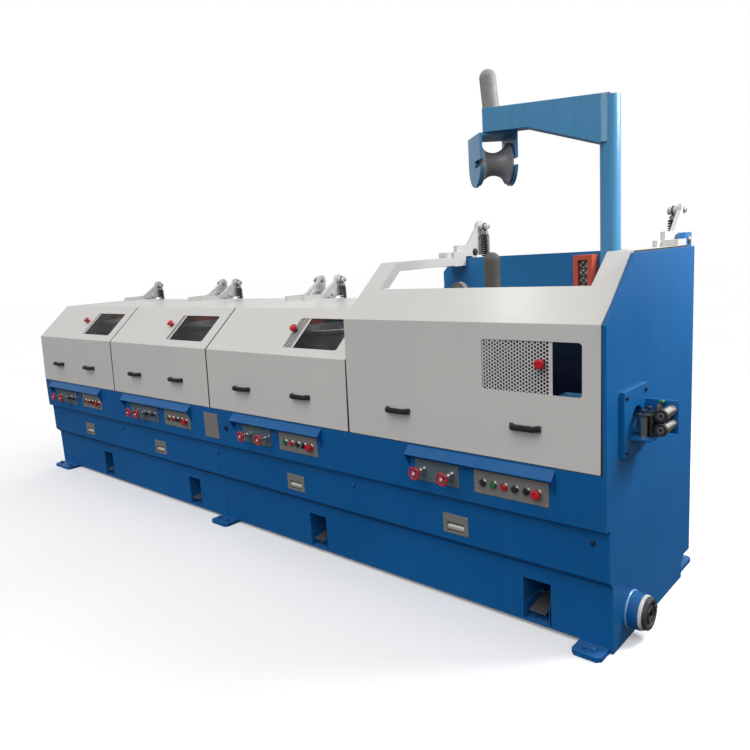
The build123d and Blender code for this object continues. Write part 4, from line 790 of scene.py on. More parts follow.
# Nuts and fins of the levers
PIN_NUT_PLAY = 0.0008
PIN_WASHER = [(0.0103, 0), (0.0195, 0), (0.0195, 0.0025), (0.0103, 0.0025)]
PIN_NUT = (0.0170, 0.0025, 0.0095)
PIN_NUT_FACE = [(0.0148, 0.0095), (0.0135, 0.0105), (0, 0.0105)]
LEVER_NUT = (0.0125, 0.008, 0.0160)
FIN_INSET = 0.0004


def make_lever_bolts():
    """Nuts on the hinge pins, nuts behind the spring stubs and the fins that stiffen the levers."""
    pale_nuts = bmesh.new()
    dark_nuts = bmesh.new()
    for module in MODULES:
        pivot_z = TOP_Z[module] + PIVOT_RISE
        head_z = head_height(module)
        nuts = dark_nuts if module == LAST else pale_nuts
        heads, fins = bmesh.new(), bmesh.new()
        fin = [(PIVOT_Y + 0.010, TOP_Z[module] + 0.0005), (HEAD_Y + 0.030, TOP_Z[module] + 0.004),
               (HEAD_Y + 0.0336, head_z - 0.004), (HEAD_Y, head_z), (PIVOT_Y, pivot_z + 0.030)]
        for side, lever_x in lever_places(module):
            half = LEVER_THICK / 2
            at = end_at(PIVOT_Y, pivot_z, lever_x + side * (half + PIN_NUT_PLAY), side)
            add_lathe(nuts, at, PIN_WASHER, 28)
            add_nut(nuts, at, *PIN_NUT, 0.0006)
            add_lathe(nuts, at, PIN_NUT_FACE, 24)
            add_hex(heads, end_at(HEAD_Y, head_z, lever_x - side * half, -side), *LEVER_NUT)
            add_prism(fins, end_at(0, 0, 0), fin, lever_x - half + FIN_INSET, lever_x + half - FIN_INSET)
        make_piece(f"lever_nuts_{module + 1}", heads, "zinc_bolt", f"hood_{module + 1}")
        make_piece(f"lever_fins_{module + 1}", fins, "hood_cream", f"hood_{module + 1}")
    make_piece("pale_pin_nuts", pale_nuts, "hood_cream")
    make_piece("dark_pin_nuts", dark_nuts, "black_iron")


make_lever_bolts()

# Hinge lugs behind the rear wall, with their pins and spring seats
LUG_DOWN = 0.150
LUG_HEAD = 0.032
LUG_GAP = 0.006
LUG_THICK = 0.018
TALL_LUG_THICK = 0.038
HINGE_PIN_R = 0.010
PIN_COLLAR = [(HINGE_PIN_R, 0.0002), (0.017, 0.0002), (0.017, 0.0030), (0.0150, 0.0036),
              (HINGE_PIN_R, 0.0036)]
SEAT_OUT = 0.032
SEAT_THICK = 0.010
SEAT_WIDE = 0.060
SEAT_PAST = 0.028


def add_lug(lugs, pins, module, side, lever_x, thick):
    """One lug with a square head, its pin with a collar on the far end, and the seat of its spring."""
    pivot_z = TOP_Z[module] + PIVOT_RISE
    front, back, high = PIVOT_Y - LUG_HEAD, PIVOT_Y + LUG_HEAD, pivot_z + LUG_HEAD
    outline = [(REAR_Y, pivot_z - LUG_DOWN), (back, pivot_z - 0.030), (back, high), (front, high),
               (REAR_Y, pivot_z)]
    inner = lever_x - side * (LEVER_THICK / 2 + LUG_GAP)
    outer = inner - side * thick
    add_prism(lugs, end_at(0, 0, 0), outline, min(inner, outer), max(inner, outer), 0.002)
    seat_top = spring_ends(module)[0] - STUB_PLAY
    seat_x = lever_x + side * SEAT_OUT
    add_box(lugs, (seat_x - SEAT_WIDE / 2, REAR_Y, seat_top - SEAT_THICK),
            (seat_x + SEAT_WIDE / 2, HEAD_Y + SEAT_PAST, seat_top), 0.0015)
    at = end_at(PIVOT_Y, pivot_z, outer, -side)
    long_in = thick + LUG_GAP + LEVER_THICK + PIN_PAST
    pin = [(0, -long_in), (HINGE_PIN_R, -long_in), (HINGE_PIN_R, 0.005), (0.008, 0.007), (0, 0.007)]
    add_lathe(pins, at, pin, 24)
    add_lathe(pins, at, PIN_COLLAR, 24)


def make_hinge_lugs():
    """Pale lugs for the small hoods and thick blue ones for the tall hood."""
    pins = bmesh.new()
    kinds = (("small_hinge_lugs", (0, 1, 2), "hood_cream", "hood_cream", LUG_THICK),
             ("tall_hinge_lugs", (LAST,), "blue_end", "blue_end", TALL_LUG_THICK))
    for name, modules, material, slot_name, thick in kinds:
        lugs = bmesh.new()
        for module in modules:
            for side, lever_x in lever_places(module):
                add_lug(lugs, pins, module, side, lever_x, thick)
        make_piece(name, lugs, material, replaced=["hinge_lugs"])
    make_piece("hinge_pins", pins, "zinc_bolt", replaced=["hinge_lugs"])


make_hinge_lugs()

# Valve plates, switch plates and what stands on them
PANEL_MID_Z = 0.593
PANEL_HIGH = 0.096
PLATE = 0.003
PLATE_Y = FRONT_Y - PLATE
VALVE_X = (0.758, 0.742, 0.698, 0.734)
VALVE_WIDE = (0.340, 0.330, 0.237, 0.226)
VALVES = ((0.086, 0.208), (0.078, 0.175), (0.066, 0.215), (0.044, 0.187))
SPARES = ((0.258, 0.316), (0.226, 0.300), (), ())
VALVE_Z = 0.596
VALVE_FOOT = [(0, 0), (0.017, 0), (0.017, 0.003), (0.0105, 0.004), (0.0105, 0.009), (0, 0.009)]
VALVE_NUT = (0.0150, 0.009, 0.022)
VALVE_STEM = [(0, 0.022), (0.009, 0.022), (0.009, 0.030), (0.0065, 0.032), (0.0050, 0.066), (0, 0.066)]
GLAND_NUT = (0.0098, 0.032, 0.042)
SPARE_FOOT = [(0, 0), (0.016, 0), (0.016, 0.004), (0, 0.004)]
SPARE_NUT = (0.0140, 0.004, 0.014)
SPARE_CAP = [(0, 0.014), (0.0105, 0.014), (0.0105, 0.027), (0.0085, 0.030), (0, 0.030)]
PANEL_X = (0.356, 0.358, 0.367, 0.384)
PANEL_WIDE = (0.286, 0.286, 0.286, 0.328)
SWITCH_Z = 0.592
SWITCH_PITCH = 0.0480
SWITCH_INSET = 0.0440
SWITCH_COUNT = (5, 5, 5, 6)
SWITCH_ORDER = ("selector", "green", "red", "black", "selector", "stop")
SWITCH_COLLAR = [(0, 0), (0.0172, 0), (0.0172, 0.003), (0.0158, 0.0046), (0.0138, 0.0046),
                 (0.0134, 0.002), (0, 0.002)]
BUTTON_CAP = [(0, 0.002), (0.0128, 0.002), (0.0128, 0.0115), (0.0115, 0.0130), (0.0070, 0.0124), (0, 0.0121)]
SELECTOR_BASE = [(0, 0.002), (0.0130, 0.002), (0.0130, 0.008), (0.0115, 0.0095), (0, 0.0095)]
SELECTOR_BAR = ((-0.0040, -0.0128, 0.008), (0.0040, 0.0128, 0.0185), 0.0014)
SELECTOR_TURN = (-28, 32)
STOP_R = 0.0195
STOP_OUT = 0.028
WHEEL_R = 0.029
WHEEL_OUT = 0.0638
WHEEL_RIM = 0.0042
WHEEL_RIPPLE = 0.0010
WHEEL_POINTS = 40
WHEEL_HUB = [(0, -0.004), (0.0095, -0.004), (0.0095, 0.005), (0.0085, 0.006), (0, 0.006)]
WHEEL_NUT = (0.0062, 0.0042, 0.0072)
SPOKE_R = 0.0027
CORNER_RIVET = (0.0032, 0.0018)
NAME_Z = 0.599
NAME_WIDE = 0.134
NAME_HIGH = 0.146
NAME_X = -0.064


def plate_at(module, step):
    """Frame on a module's valve plate, at a step from the plate's left edge."""
    return panel_at(EDGES[module] - VALVE_X[module] - VALVE_WIDE[module] / 2 + step, VALVE_Z, PLATE_Y)


def make_valves():
    """Needle valves with hexagon bodies, and the capped spare ports."""
    body = bmesh.new()
    caps = bmesh.new()
    for module in MODULES:
        for step in VALVES[module]:
            at = plate_at(module, step)
            add_lathe(body, at, VALVE_FOOT, 24)
            add_nut(body, at, *VALVE_NUT, 0.0006, pi / 6)
            add_lathe(body, at, VALVE_STEM, 20)
            add_nut(body, at, *GLAND_NUT, 0.0005)
        for step in SPARES[module]:
            at = plate_at(module, step)
            add_lathe(body, at, SPARE_FOOT, 24)
            add_nut(body, at, *SPARE_NUT, 0.0006, pi / 6)
            add_lathe(caps, at, SPARE_CAP, 22)
    make_piece("needle_valves", body, "fitting_chrome", replaced=["valve_fittings"])
    make_piece("spare_port_caps", caps, "cap_black")


def add_handwheel(bm, turned):
    """Rippled rim, hub and five spokes."""
    rim = []
    for k, (px, py) in enumerate(ring_points(1.0, WHEEL_POINTS)):
        reach = WHEEL_R - 0.0045 + WHEEL_RIPPLE * cos(pi * k / 2)
        rim.append(turned @ Vector((reach * px, reach * py, 0.0025)))
    add_sweep(bm, rim, WHEEL_RIM, 10, closed=True)
    add_lathe(bm, turned, WHEEL_HUB, 22)
    for px, py in ring_points(1.0, 5):
        ends = [turned @ Vector((reach * px, reach * py, 0.002)) for reach in (0.007, WHEEL_R - 0.005)]
        add_sweep(bm, ends, SPOKE_R, 8)


def make_handwheels():
    """Small five-spoked handwheels with a white nut on each hub."""
    wheels = bmesh.new()
    nuts = bmesh.new()
    for module in MODULES:
        for index, step in enumerate(VALVES[module]):
            turn = Matrix.Rotation(0.35 * (module + 1) + 0.9 * index, 4, "Z")
            turned = plate_at(module, step) @ Matrix.Translation((0, 0, WHEEL_OUT)) @ turn
            add_handwheel(wheels, turned)
            add_hex(nuts, turned @ Matrix.Translation((0, 0, 0.006)), *WHEEL_NUT)
    make_piece("valve_handwheels", wheels, "red_enamel", replaced=["handwheels"])
    make_piece("handwheel_nuts", nuts, "white_plastic")


def switch_places(module):
    """X of each switch, left to right."""
    start = EDGES[module] - PANEL_X[module] + PANEL_WIDE[module] / 2 - SWITCH_INSET
    count = SWITCH_COUNT[module]
    return [start - (count - 1 - k) * SWITCH_PITCH for k in range(count)]


def make_switches():
    """Chrome collars with coloured caps: selector, green, red, black, selector and the stop mushroom."""
    rings = bmesh.new()
    caps = {"green": bmesh.new(), "red": bmesh.new(), "black": bmesh.new(), "stop": bmesh.new()}
    for module in MODULES:
        for x, kind in zip(switch_places(module), SWITCH_ORDER[-SWITCH_COUNT[module]:]):
            at = panel_at(x, SWITCH_Z, PLATE_Y)
            add_lathe(rings, at, SWITCH_COLLAR, 28)
            if kind == "stop":
                add_stop_knob(caps["stop"], at, STOP_R, STOP_OUT)
            elif kind == "selector":
                add_lathe(caps["black"], at, SELECTOR_BASE, 24)
                turned = at @ Matrix.Rotation(radians(SELECTOR_TURN[module % 2]), 4, "Z")
                add_block(caps["black"], turned, *SELECTOR_BAR)
            else:
                add_lathe(caps[kind], at, BUTTON_CAP, 24)
    make_piece("switch_collars", rings, "fitting_chrome", replaced=["switches"])
    finishes = {"green": "cap_green", "red": "red_enamel", "black": "cap_black", "stop": "red_enamel"}
    for kind, bm in caps.items():
        make_piece(f"switch_caps_{kind}", bm, finishes[kind])


def add_corner_rivets(bm, x, z, wide, high, y, inset=0.008):
    """Rivets near the four corners of a plate."""
    for dx in (-1, 1):
        for dz in (-1, 1):
            at = panel_at(x + dx * (wide / 2 - inset), z + dz * (high / 2 - inset), y)
            add_rivet(bm, at, *CORNER_RIVET)


def make_plate_trim():
    """Rivets on the valve plates, the switch plates and the bare name plate."""
    rivets = bmesh.new()
    for module in MODULES:
        for back, wide in ((VALVE_X, VALVE_WIDE), (PANEL_X, PANEL_WIDE)):
            x = EDGES[module] - back[module]
            add_corner_rivets(rivets, x, PANEL_MID_Z, wide[module], PANEL_HIGH, PLATE_Y)
    add_corner_rivets(rivets, NAME_X, NAME_Z, NAME_WIDE, NAME_HIGH, PLATE_Y)
    make_piece("plate_rivets", rivets, "zinc_bolt")


make_valves()
make_handwheels()
make_switches()
make_plate_trim()

# Flush pulls in the middle band
PULL_X = (0.499, 0.638, 0.438, 0.668)
PULL_Z = 0.368
PULL_WIDE = 0.128
PULL_HIGH = 0.086
PULL_SLOT = 0.086
PULL_SLOT_Z = 0.354
ROLL_R = 0.0155
ROLL_BACK = 0.014
ROLL_DOWN = 0.003
ROLL_INSET = 0.002


def make_pull_trim():
    """Corner screws of each flush pull, a black strip at the top of its slot that is painted shadow, and a
    roll whose pale colour is a painted highlight.
    """
    screws, rolls, painted_shadows = bmesh.new(), bmesh.new(), bmesh.new()
    half = PULL_SLOT / 2
    for module in MODULES:
        x = EDGES[module] - PULL_X[module]
        add_corner_rivets(screws, x, PULL_Z, PULL_WIDE, PULL_HIGH, MIDDLE_FACE_Y - 0.002, 0.0085)
        y, z, reach = MIDDLE_FACE_Y + ROLL_BACK, PULL_SLOT_Z - ROLL_DOWN, half - ROLL_INSET
        add_sweep(rolls, [(x - reach, y, z), (x + reach, y, z)], ROLL_R, 28)
        # Black strip under the slot's upper edge: painted shadow.
        add_box(painted_shadows, (x - half + 0.001, MIDDLE_FACE_Y + 0.0005, PULL_SLOT_Z + 0.0145),
                (x + half - 0.001, MIDDLE_FACE_Y + 0.0040, PULL_SLOT_Z + 0.0195), 0.0006)
    make_piece("pull_screws", screws, "zinc_bolt")
    make_piece("pull_rolls", rolls, "roll_painted_highlight")
    make_piece("pull_painted_shadows", painted_shadows, "black_iron")


# Bolts of the bed and of the guide's mounting plate
BAND_BOLTS = (-2.153, -1.178, -0.066, 1.029)
BAND_BOLT_Z = 0.435
END_BAND_BOLT_X = 2.221
FRONT_FOOT_BOLTS = (-2.230, -2.080, -0.099, -0.029, 2.230)
REAR_FOOT_BOLTS = (-2.230, -2.080, -0.099, -0.029, 2.193, 2.230)
FOOT_BOLT_BACK = 0.048
FOOT_TOP_Z = 0.019
MOUNT_Y = (FRONT_Y + 0.115, FRONT_Y + 0.335)
MOUNT_Z = (0.738, 0.979)
MOUNT_THICK = 0.016
MOUNT_BOLT_INSET = 0.022
BAND_SOCKET_X = 0.078
BAND_SOCKET_Z = 0.600
BAND_SOCKET = [(0, 0), (0.0135, 0), (0.0135, 0.006), (0.0115, 0.010), (0.0065, 0.010),
               (0.0060, 0.004), (0, 0.004)]

# Hexagon heads: radius, height and radius of the washer
FOOT_BOLT = (0.0125, 0.012, 0.0160)
MOUNT_BOLT = (0.0080, 0.0060, 0.0100)
BAND_BOLT = (0.0090, 0.0080, 0.0120)
END_BAND_BOLT = (0.0075, 0.0090, 0.0100)
SEAM_HALF = 0.0012
SEAM_PROUD = 0.0004
SEAM_DEEP = 0.001
SEAM_LOW_Z = 0.021


def make_bed_bolts():
    """Painted foundation bolts, band bolts, the plate's corner bolts and the seam of the split bed."""
    painted, dark, navy, seam = bmesh.new(), bmesh.new(), bmesh.new(), bmesh.new()
    foot_rows = ((FRONT_FOOT_BOLTS, LOWER_FACE_Y - FOOT_BOLT_BACK),
                 (REAR_FOOT_BOLTS, REAR_Y + FOOT_BOLT_BACK))
    for places, y in foot_rows:
        for x in places:
            add_hex(painted, floor_at(x, y, FOOT_TOP_Z), *FOOT_BOLT)
    for y in (MOUNT_Y[0] + MOUNT_BOLT_INSET, MOUNT_Y[1] - MOUNT_BOLT_INSET):
        for z in (MOUNT_Z[0] + MOUNT_BOLT_INSET, MOUNT_Z[1] - MOUNT_BOLT_INSET):
            add_hex(navy, end_at(y, z, RIGHT_X + MOUNT_THICK), *MOUNT_BOLT)
    for x in BAND_BOLTS:
        add_hex(painted, panel_at(x, BAND_BOLT_Z, MIDDLE_FACE_Y), *BAND_BOLT)
    add_hex(dark, panel_at(END_BAND_BOLT_X, BAND_BOLT_Z, MIDDLE_FACE_Y), *END_BAND_BOLT)
    add_lathe(dark, panel_at(BAND_SOCKET_X, BAND_SOCKET_Z), BAND_SOCKET, 22)
    for face_y, low, high in ((MIDDLE_FACE_Y, MIDDLE_Z, UPPER_Z), (LOWER_FACE_Y, SEAM_LOW_Z, MIDDLE_Z)):
        add_box(seam, (EDGES[1] - SEAM_HALF, face_y - SEAM_PROUD, low),
                (EDGES[1] + SEAM_HALF, face_y + SEAM_DEEP, high))
    make_piece("painted_bolts", painted, "blue_end")
    make_piece("dark_bolts", dark, "navy_iron")
    make_piece("mount_bolts", navy, "navy_paint")
    make_piece("bed_seam", seam, "gasket_black", smooth=False)


# Wire guide at the outlet
SIDE_Y = FRONT_Y + 0.320
OUTLET_Y = FRONT_Y + 0.235
OUTLET_Z = 0.860
GUIDE_STEP = 0.026
LEVEL_X = RIGHT_X + 0.108
LEVEL_END_Y = SIDE_Y - 0.1123
LEVEL_BEARING = [(0, 0), (0.0226, 0), (0.0236, 0.0015), (0.0236, 0.0110), (0.0222, 0.0125),
                 (0.0140, 0.0125), (0, 0.0125)]
LEVEL_SUNK = 0.012
LEVEL_RING = [(0.0075, 0.0126), (0.0125, 0.0126), (0.0125, 0.0140), (0.0075, 0.0140)]
UPRIGHT_X = RIGHT_X + 0.048
UPRIGHT_TOP_Z = 0.8873
UPRIGHT_PIN_Z = 0.8956
UPRIGHT_BEARING = [(0.0085, 0), (0.0226, 0), (0.0226, 0.0081), (0.0205, 0.0090), (0.0085, 0.0090)]
UPRIGHT_SUNK = 0.0080
GUIDE_PIN_NUT = (0.0105, 0.0002, 0.0080)
BRACKET_X = (RIGHT_X + 0.0748, RIGHT_X + 0.0812)
BRACKET_LOW_Z = 0.8055
BRACKET_Z = (0.8900, 0.9140)
BRACKET_GAP = 0.012
BRACKET_FRONT = 0.040
BRACKET_EDGE = 0.001
TAG_X = (RIGHT_X + 0.070, RIGHT_X + 0.088)
TAG_Y = (SIDE_Y - 0.030, SIDE_Y - 0.006)
TAG_Z = (0.9142, 0.9210)
TAG_RIVET = (0.0040, 0.0022)


def make_guide_details():
    """Bearings on the guide rollers, nuts on their pins and the dark bracket between them."""
    for end, step in (("lower", -GUIDE_STEP), ("upper", GUIDE_STEP)):
        bearing, ring = bmesh.new(), bmesh.new()
        at = panel_at(LEVEL_X, OUTLET_Z + step, LEVEL_END_Y + LEVEL_SUNK)
        add_lathe(bearing, at, LEVEL_BEARING, 32)
        add_lathe(ring, at, LEVEL_RING, 28)
        make_piece(f"bearing_{end}", bearing, "black_iron", f"guide_roller_{end}")
        make_piece(f"bearing_ring_{end}", ring, "zinc_bolt", f"guide_roller_{end}")
    nuts = bmesh.new()
    for end, step in (("front", -GUIDE_STEP), ("rear", GUIDE_STEP)):
        top = bmesh.new()
        at = floor_at(UPRIGHT_X, OUTLET_Y + step, UPRIGHT_TOP_Z - UPRIGHT_SUNK)
        add_lathe(top, at, UPRIGHT_BEARING, 28)
        make_piece(f"bearing_{end}", top, "black_iron", f"guide_roller_{end}")
        add_nut(nuts, floor_at(UPRIGHT_X, OUTLET_Y + step, UPRIGHT_PIN_Z), *GUIDE_PIN_NUT, 0.0008)
    make_piece("guide_pin_nuts", nuts, "black_iron")
    bracket = bmesh.new()
    for y0, y1, high in ((OUTLET_Y + BRACKET_GAP, SIDE_Y, BRACKET_Z[1]),
                         (OUTLET_Y - BRACKET_FRONT, OUTLET_Y - BRACKET_GAP, BRACKET_Z[0])):
        add_box(bracket, (BRACKET_X[0], y0, BRACKET_LOW_Z), (BRACKET_X[1], y1, high), BRACKET_EDGE)
    make_piece("guide_bracket", bracket, "black_iron")
    tag = bmesh.new()
    add_box(tag, *zip(TAG_X, TAG_Y, TAG_Z), 0.0015)
    add_rivet(tag, floor_at(sum(TAG_X) / 2, sum(TAG_Y) / 2, TAG_Z[1] - 0.0002), *TAG_RIVET)
    make_piece("guide_green_cap", tag, "cap_green")


# Pipe stub low on the right end
PIPE_Y = FRONT_Y + 0.225
PIPE_Z = 0.107
PIPE_LONG = 0.046
PIPE_R = 0.070
PLUG_R = 0.062
PLUG_PROFILE = [(0, 0), (PLUG_R, 0), (PLUG_R, 0.026), (PLUG_R - 0.004, 0.030), (0.047, 0.030),
                (0.044, 0.018), (0, 0.018)]
SOCKET_WALL = ((-0.026, 0.017, 0.017), (0.026, 0.026, 0.0285), 0.0012)
PLUG_LUG = ((0.040, -0.012, 0.020), (0.060, 0.012, 0.0320), 0.003)
PLUG_TURN = 12
TAPE_PROFILE = [(PLUG_R - 0.001, 0.0002), (0.0668, 0.0006), (0.0676, 0.0040), (0.0664, 0.0062),
                (0.0672, 0.0090), (0.0655, 0.0128), (PLUG_R - 0.001, 0.0136)]
STUB_WELD_R = 0.0042
STUB_WELD_OUT = 0.0015
STUB_WELD_ROUGH = 0.0010
STUB_WELD_POINTS = 64


def make_pipe_details():
    """Cast plug with a square socket, tape on its thread and the weld round the stub."""
    plug = bmesh.new()
    at = end_at(PIPE_Y, PIPE_Z, RIGHT_X + PIPE_LONG)
    add_lathe(plug, at, PLUG_PROFILE, 48)
    turned = at @ Matrix.Rotation(radians(PLUG_TURN), 4, "Z")
    for k in range(4):
        add_block(plug, turned @ Matrix.Rotation(k * pi / 2, 4, "Z"), *SOCKET_WALL)
    add_block(plug, turned, *PLUG_LUG)
    make_piece("cast_plug", plug, "cast_iron", replaced=["pipe_plug"])
    tape = bmesh.new()
    add_lathe(tape, at, TAPE_PROFILE, 48)
    make_piece("thread_tape", tape, "thread_tape")
    weld = bmesh.new()
    rng = Random(11)
    spots = []
    for k in range(STUB_WELD_POINTS):
        t = 2 * pi * k / STUB_WELD_POINTS
        reach = PIPE_R + STUB_WELD_OUT + STUB_WELD_ROUGH * rng.random()
        spots.append((RIGHT_X + 0.003, PIPE_Y + reach * cos(t), PIPE_Z + reach * sin(t)))
    # The stub's weld takes the same lighter paint: painted highlight.
    add_sweep(weld, spots, STUB_WELD_R, 8, closed=True)
    make_piece("stub_weld", weld, "weld_painted_highlight")


# Weld where the jib's arm meets its column
JIB_X = 2.004
JIB_Y = 0.22375
JIB_DIR = Vector((-0.9184, -0.3955, 0))
JIB_SIDE = Vector((0.3955, -0.9184, 0))
WELD_Z = (1.908, 2.094)
WELD_FROM = 0.008
WELD_WIDE = 0.030
WELD_FACE = 0.0398
WELD_BULGE = 0.0034
WELD_RIPPLE = 0.0004
WELD_ACROSS = 11
WELD_ALONG = 130


def make_jib_weld():
    """Broad rippled weld, painted over, where the arm's face meets the column; its paint is lighter than the
    arm's as a painted highlight.
    """
    bm = bmesh.new()
    rows = []
    for row in range(WELD_ALONG + 1):
        at = Vector((JIB_X, JIB_Y, WELD_Z[0] + (WELD_Z[1] - WELD_Z[0]) * row / WELD_ALONG))
        points = []
        for column in range(WELD_ACROSS + 1):
            share = column / WELD_ACROSS
            bulge = WELD_BULGE * sin(pi * share) + WELD_RIPPLE * sin(pi * row / 2 + 2.5 * share)
            if column in (0, WELD_ACROSS):
                bulge = 0.0
            points.append(at + JIB_DIR * (WELD_FROM + WELD_WIDE * share) + JIB_SIDE * (WELD_FACE + bulge))
        rows.append([bm.verts.new(p) for p in points])
    for lower, upper in zip(rows, rows[1:]):
        for column in range(WELD_ACROSS):
            bm.faces.new([lower[column], lower[column + 1], upper[column + 1], upper[column]])
    make_piece("jib_weld", bm, "weld_painted_highlight", "jib")


# Lattice in the recess of the orange junction box
BOX_X = RIGHT_X - 0.455
BOX_Y = 0.32375
BOX_Z = 1.2975
LATTICE_HALF = 0.0205
LATTICE_HIGH = 0.244
LATTICE_STEPS = 7
LATTICE_R = 0.0028
RUNG_HALF = 0.0215
RUNG_R = 0.0026

# Plates of the recess: half width, front, back, half height and edge
BACKING = (0.0195, 0.0165, 0.0215, 0.121, 0.001)
SLAT = (0.0175, 0.0153, 0.0168, 0.0065, 0.0005)


def add_box_bar(bm, reach, low, high, back, radius):
    """Bar across the recess, from one height to another."""
    y = BOX_Y + back
    add_sweep(bm, [(BOX_X - reach, y, low), (BOX_X + reach, y, high)], radius, 6)


def add_box_plate(bm, z, half, front, back, half_high, bevel):
    """Plate in the recess about a height."""
    low = (BOX_X - half, BOX_Y + front, z - half_high)
    add_box(bm, low, (BOX_X + half, BOX_Y + back, z + half_high), bevel)


def make_box_lattice():
    """Crossed strips and a pale ladder in the recess of the orange box."""
    bars, back = bmesh.new(), bmesh.new()
    pitch = LATTICE_HIGH / LATTICE_STEPS
    add_box_plate(back, BOX_Z, *BACKING)
    for k in range(LATTICE_STEPS):
        low = BOX_Z - LATTICE_HIGH / 2 + k * pitch
        for reach in (-LATTICE_HALF, LATTICE_HALF):
            add_box_bar(bars, reach, low, low + pitch, 0.009, LATTICE_R)
        add_box_bar(bars, RUNG_HALF, low, low, 0.012, RUNG_R)
        add_box_plate(back, low + pitch / 2, *SLAT)
    make_piece("box_lattice", bars, "black_iron")
    make_piece("box_backing", back, "thread_tape")


# Tray, and a dark sheet of painted shade on the wall, that show through the last hood's opening
TRAY = ((1.835, -0.120, 0.7005), (2.205, 0.110, 0.848))
TRAY_EDGE = 0.018
RIM_INSET = 0.02
RIM_R = 0.005
# Dark riveted sheet low on the wall's inner face: painted shade.
SHADE_SHEET = ((1.10, 0.3904, 0.7060), (2.258, 0.3915, 1.205))
SHADE_SHEET_RIVETS = 8
SHADE_SHEET_RIVET_X = 1.125
SHADE_SHEET_RIVET_PITCH = 0.158
SHADE_SHEET_RIVET_Z = (0.724, 1.190)
SHADE_SHEET_RIVET = (0.0045, 0.0014)


def make_inner_details():
    """Covered tray beside the last block and a dark riveted sheet low on the wall behind it, painted shade
    that darkens the wall there.
    """
    tray = bmesh.new()
    add_box(tray, *TRAY, TRAY_EDGE)
    x0, x1 = TRAY[0][0] + RIM_INSET, TRAY[1][0] - RIM_INSET
    y0, y1 = TRAY[0][1] + RIM_INSET, TRAY[1][1] - RIM_INSET
    rim = [(x, y, TRAY[1][2] + 0.001) for x, y in ((x0, y0), (x1, y0), (x1, y1), (x0, y1))]
    add_sweep(tray, rim, RIM_R, 8, closed=True)
    make_piece("inner_tray", tray, "jib_blue")
    shade_sheet = bmesh.new()
    add_box(shade_sheet, *SHADE_SHEET, 0.0002)
    for k in range(SHADE_SHEET_RIVETS):
        for z in SHADE_SHEET_RIVET_Z:
            at = panel_at(SHADE_SHEET_RIVET_X + SHADE_SHEET_RIVET_PITCH * k, z, SHADE_SHEET[0][1] + OVERLAP)
            add_rivet(shade_sheet, at, *SHADE_SHEET_RIVET)
    make_piece("wall_painted_shade", shade_sheet, "navy_iron", smooth=False)


make_pull_trim()
make_bed_bolts()
make_guide_details()
make_pipe_details()
make_jib_weld()
make_box_lattice()
make_inner_details()

# Floor, surroundings and lights
FLOOR_REACH = 30.0
FLOOR_Z = -0.0005
FLOOR_GLOW = 0.07
SKY_FRONT = 0.25
SKY_BACK = 0.90
SKY_BELOW = 0.10
OVERHEAD = 2.00
OVERHEAD_WIDE = 60
OVERHEAD_FROM = (0.10, -0.66, 0.74)
SIDE_LIGHT_AT = (3.6, 1.2, 2.6)
SIDE_LIGHT_TO = (2.3, 0.0, 1.2)
GLINT_AT = (-0.134, -0.056, 4.746)
GLINT_TO = (1.883, -0.373, 1.306)
INNER_BACK = 0.33
INNER_Y = 0.05
INNER_Z = 1.225
WARM = (1.0, 0.98, 0.95)


def make_stage():
    """Plain pale floor that the machine stands on."""
    bm = bmesh.new()
    corners = ((-1, -1), (1, -1), (1, 1), (-1, 1))
    bm.faces.new([bm.verts.new((FLOOR_REACH * x, FLOOR_REACH * y, FLOOR_Z)) for x, y in corners])
    s = Shader("floor_pale")
    tone = s.span(s.noise(0.7, 3.0), 0.3, 0.7)
    s.link(s.mix(tone, (0.88, 0.88, 0.88), (0.91, 0.91, 0.91)), "Base Color")
    s.set(Roughness=0.85, Emission_Color=(1.0, 1.0, 1.0, 1.0), Emission_Strength=FLOOR_GLOW)
    floor = make_piece("stage_floor", bm, "floor_pale", body=None, smooth=False)
    floor.visible_diffuse = False
    floor.visible_glossy = False
    floor.visible_shadow = False


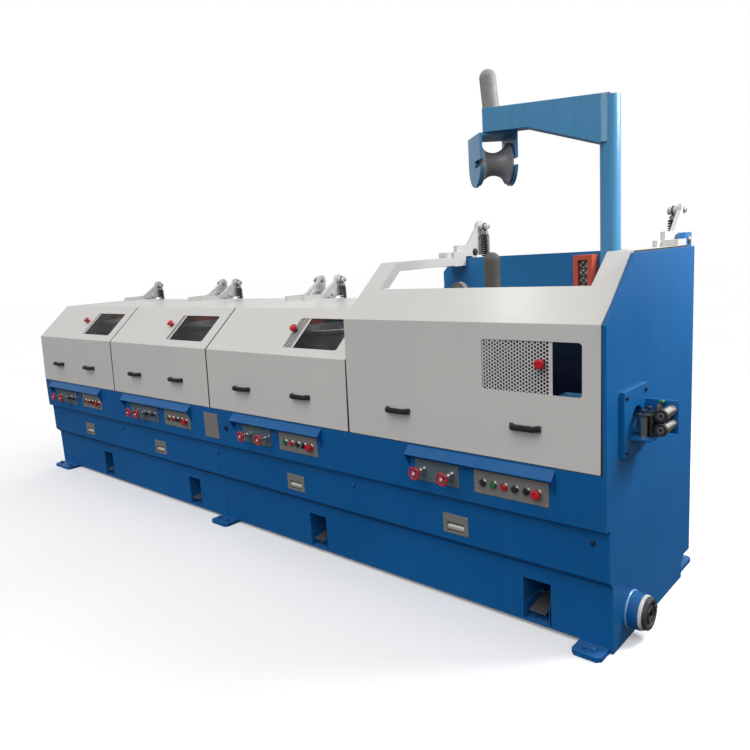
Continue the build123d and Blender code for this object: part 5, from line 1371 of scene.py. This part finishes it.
def add_area_light(name, at, target, size, power, colour):
    """Soft rectangular light that looks at a point."""
    data = bpy.data.lights.new(name, "AREA")
    data.shape = "RECTANGLE"
    data.size, data.size_y = size
    data.energy = power
    data.color = colour
    light = bpy.data.objects.new(name, data)
    light.location = at
    light.rotation_euler = (Vector(target) - Vector(at)).to_track_quat("-Z", "Y").to_euler()
    bpy.context.scene.collection.objects.link(light)


def make_surroundings():
    """White backdrop in the picture; its light is dim below and grows from the front to the back."""
    world = bpy.data.worlds.new("studio")
    world.use_nodes = True
    tree = world.node_tree
    place = add_node(tree, "ShaderNodeTexCoord", {}, "Generated")
    depth, height = [add_node(tree, "ShaderNodeSeparateXYZ", {0: place}, axis) for axis in "YZ"]
    above = add_span(tree, depth, -1.0, 1.0, SKY_FRONT, SKY_BACK)
    light = add_span(tree, height, -0.12, 0.14, SKY_BELOW, above)
    pictured = add_node(tree, "ShaderNodeLightPath", {}, "Is Camera Ray")
    background = tree.nodes["Background"].inputs
    background["Color"].default_value = (1.0, 1.0, 1.0, 1.0)
    tree.links.new(add_span(tree, pictured, 0.0, 1.0, light, 1.0), background["Strength"])
    bpy.context.scene.world = world


def make_light():
    """Wide light from the front above, one on the end, a glint and a lamp in each small hood."""
    data = bpy.data.lights.new("overhead", "SUN")
    data.energy = OVERHEAD
    data.angle = radians(OVERHEAD_WIDE)
    overhead = bpy.data.objects.new("overhead", data)
    overhead.rotation_euler = Vector(OVERHEAD_FROM).to_track_quat("Z", "Y").to_euler()
    bpy.context.scene.collection.objects.link(overhead)
    add_area_light("side_light", SIDE_LIGHT_AT, SIDE_LIGHT_TO, (1.2, 0.9), 88.0, (0.98, 0.99, 1.0))
    add_area_light("glint", GLINT_AT, GLINT_TO, (0.7, 0.35), 7.0, WARM)
    for module in range(LAST):
        x = EDGES[module] - INNER_BACK
        at, target = (x, INNER_Y, INNER_Z), (x, INNER_Y, DECK_Z)
        add_area_light(f"inner_light_{module + 1}", at, target, (0.6, 0.3), 1.5, (1.0, 0.98, 0.96))
    bpy.context.scene.view_settings.view_transform = "Standard"


make_surroundings()
make_stage()
make_light()
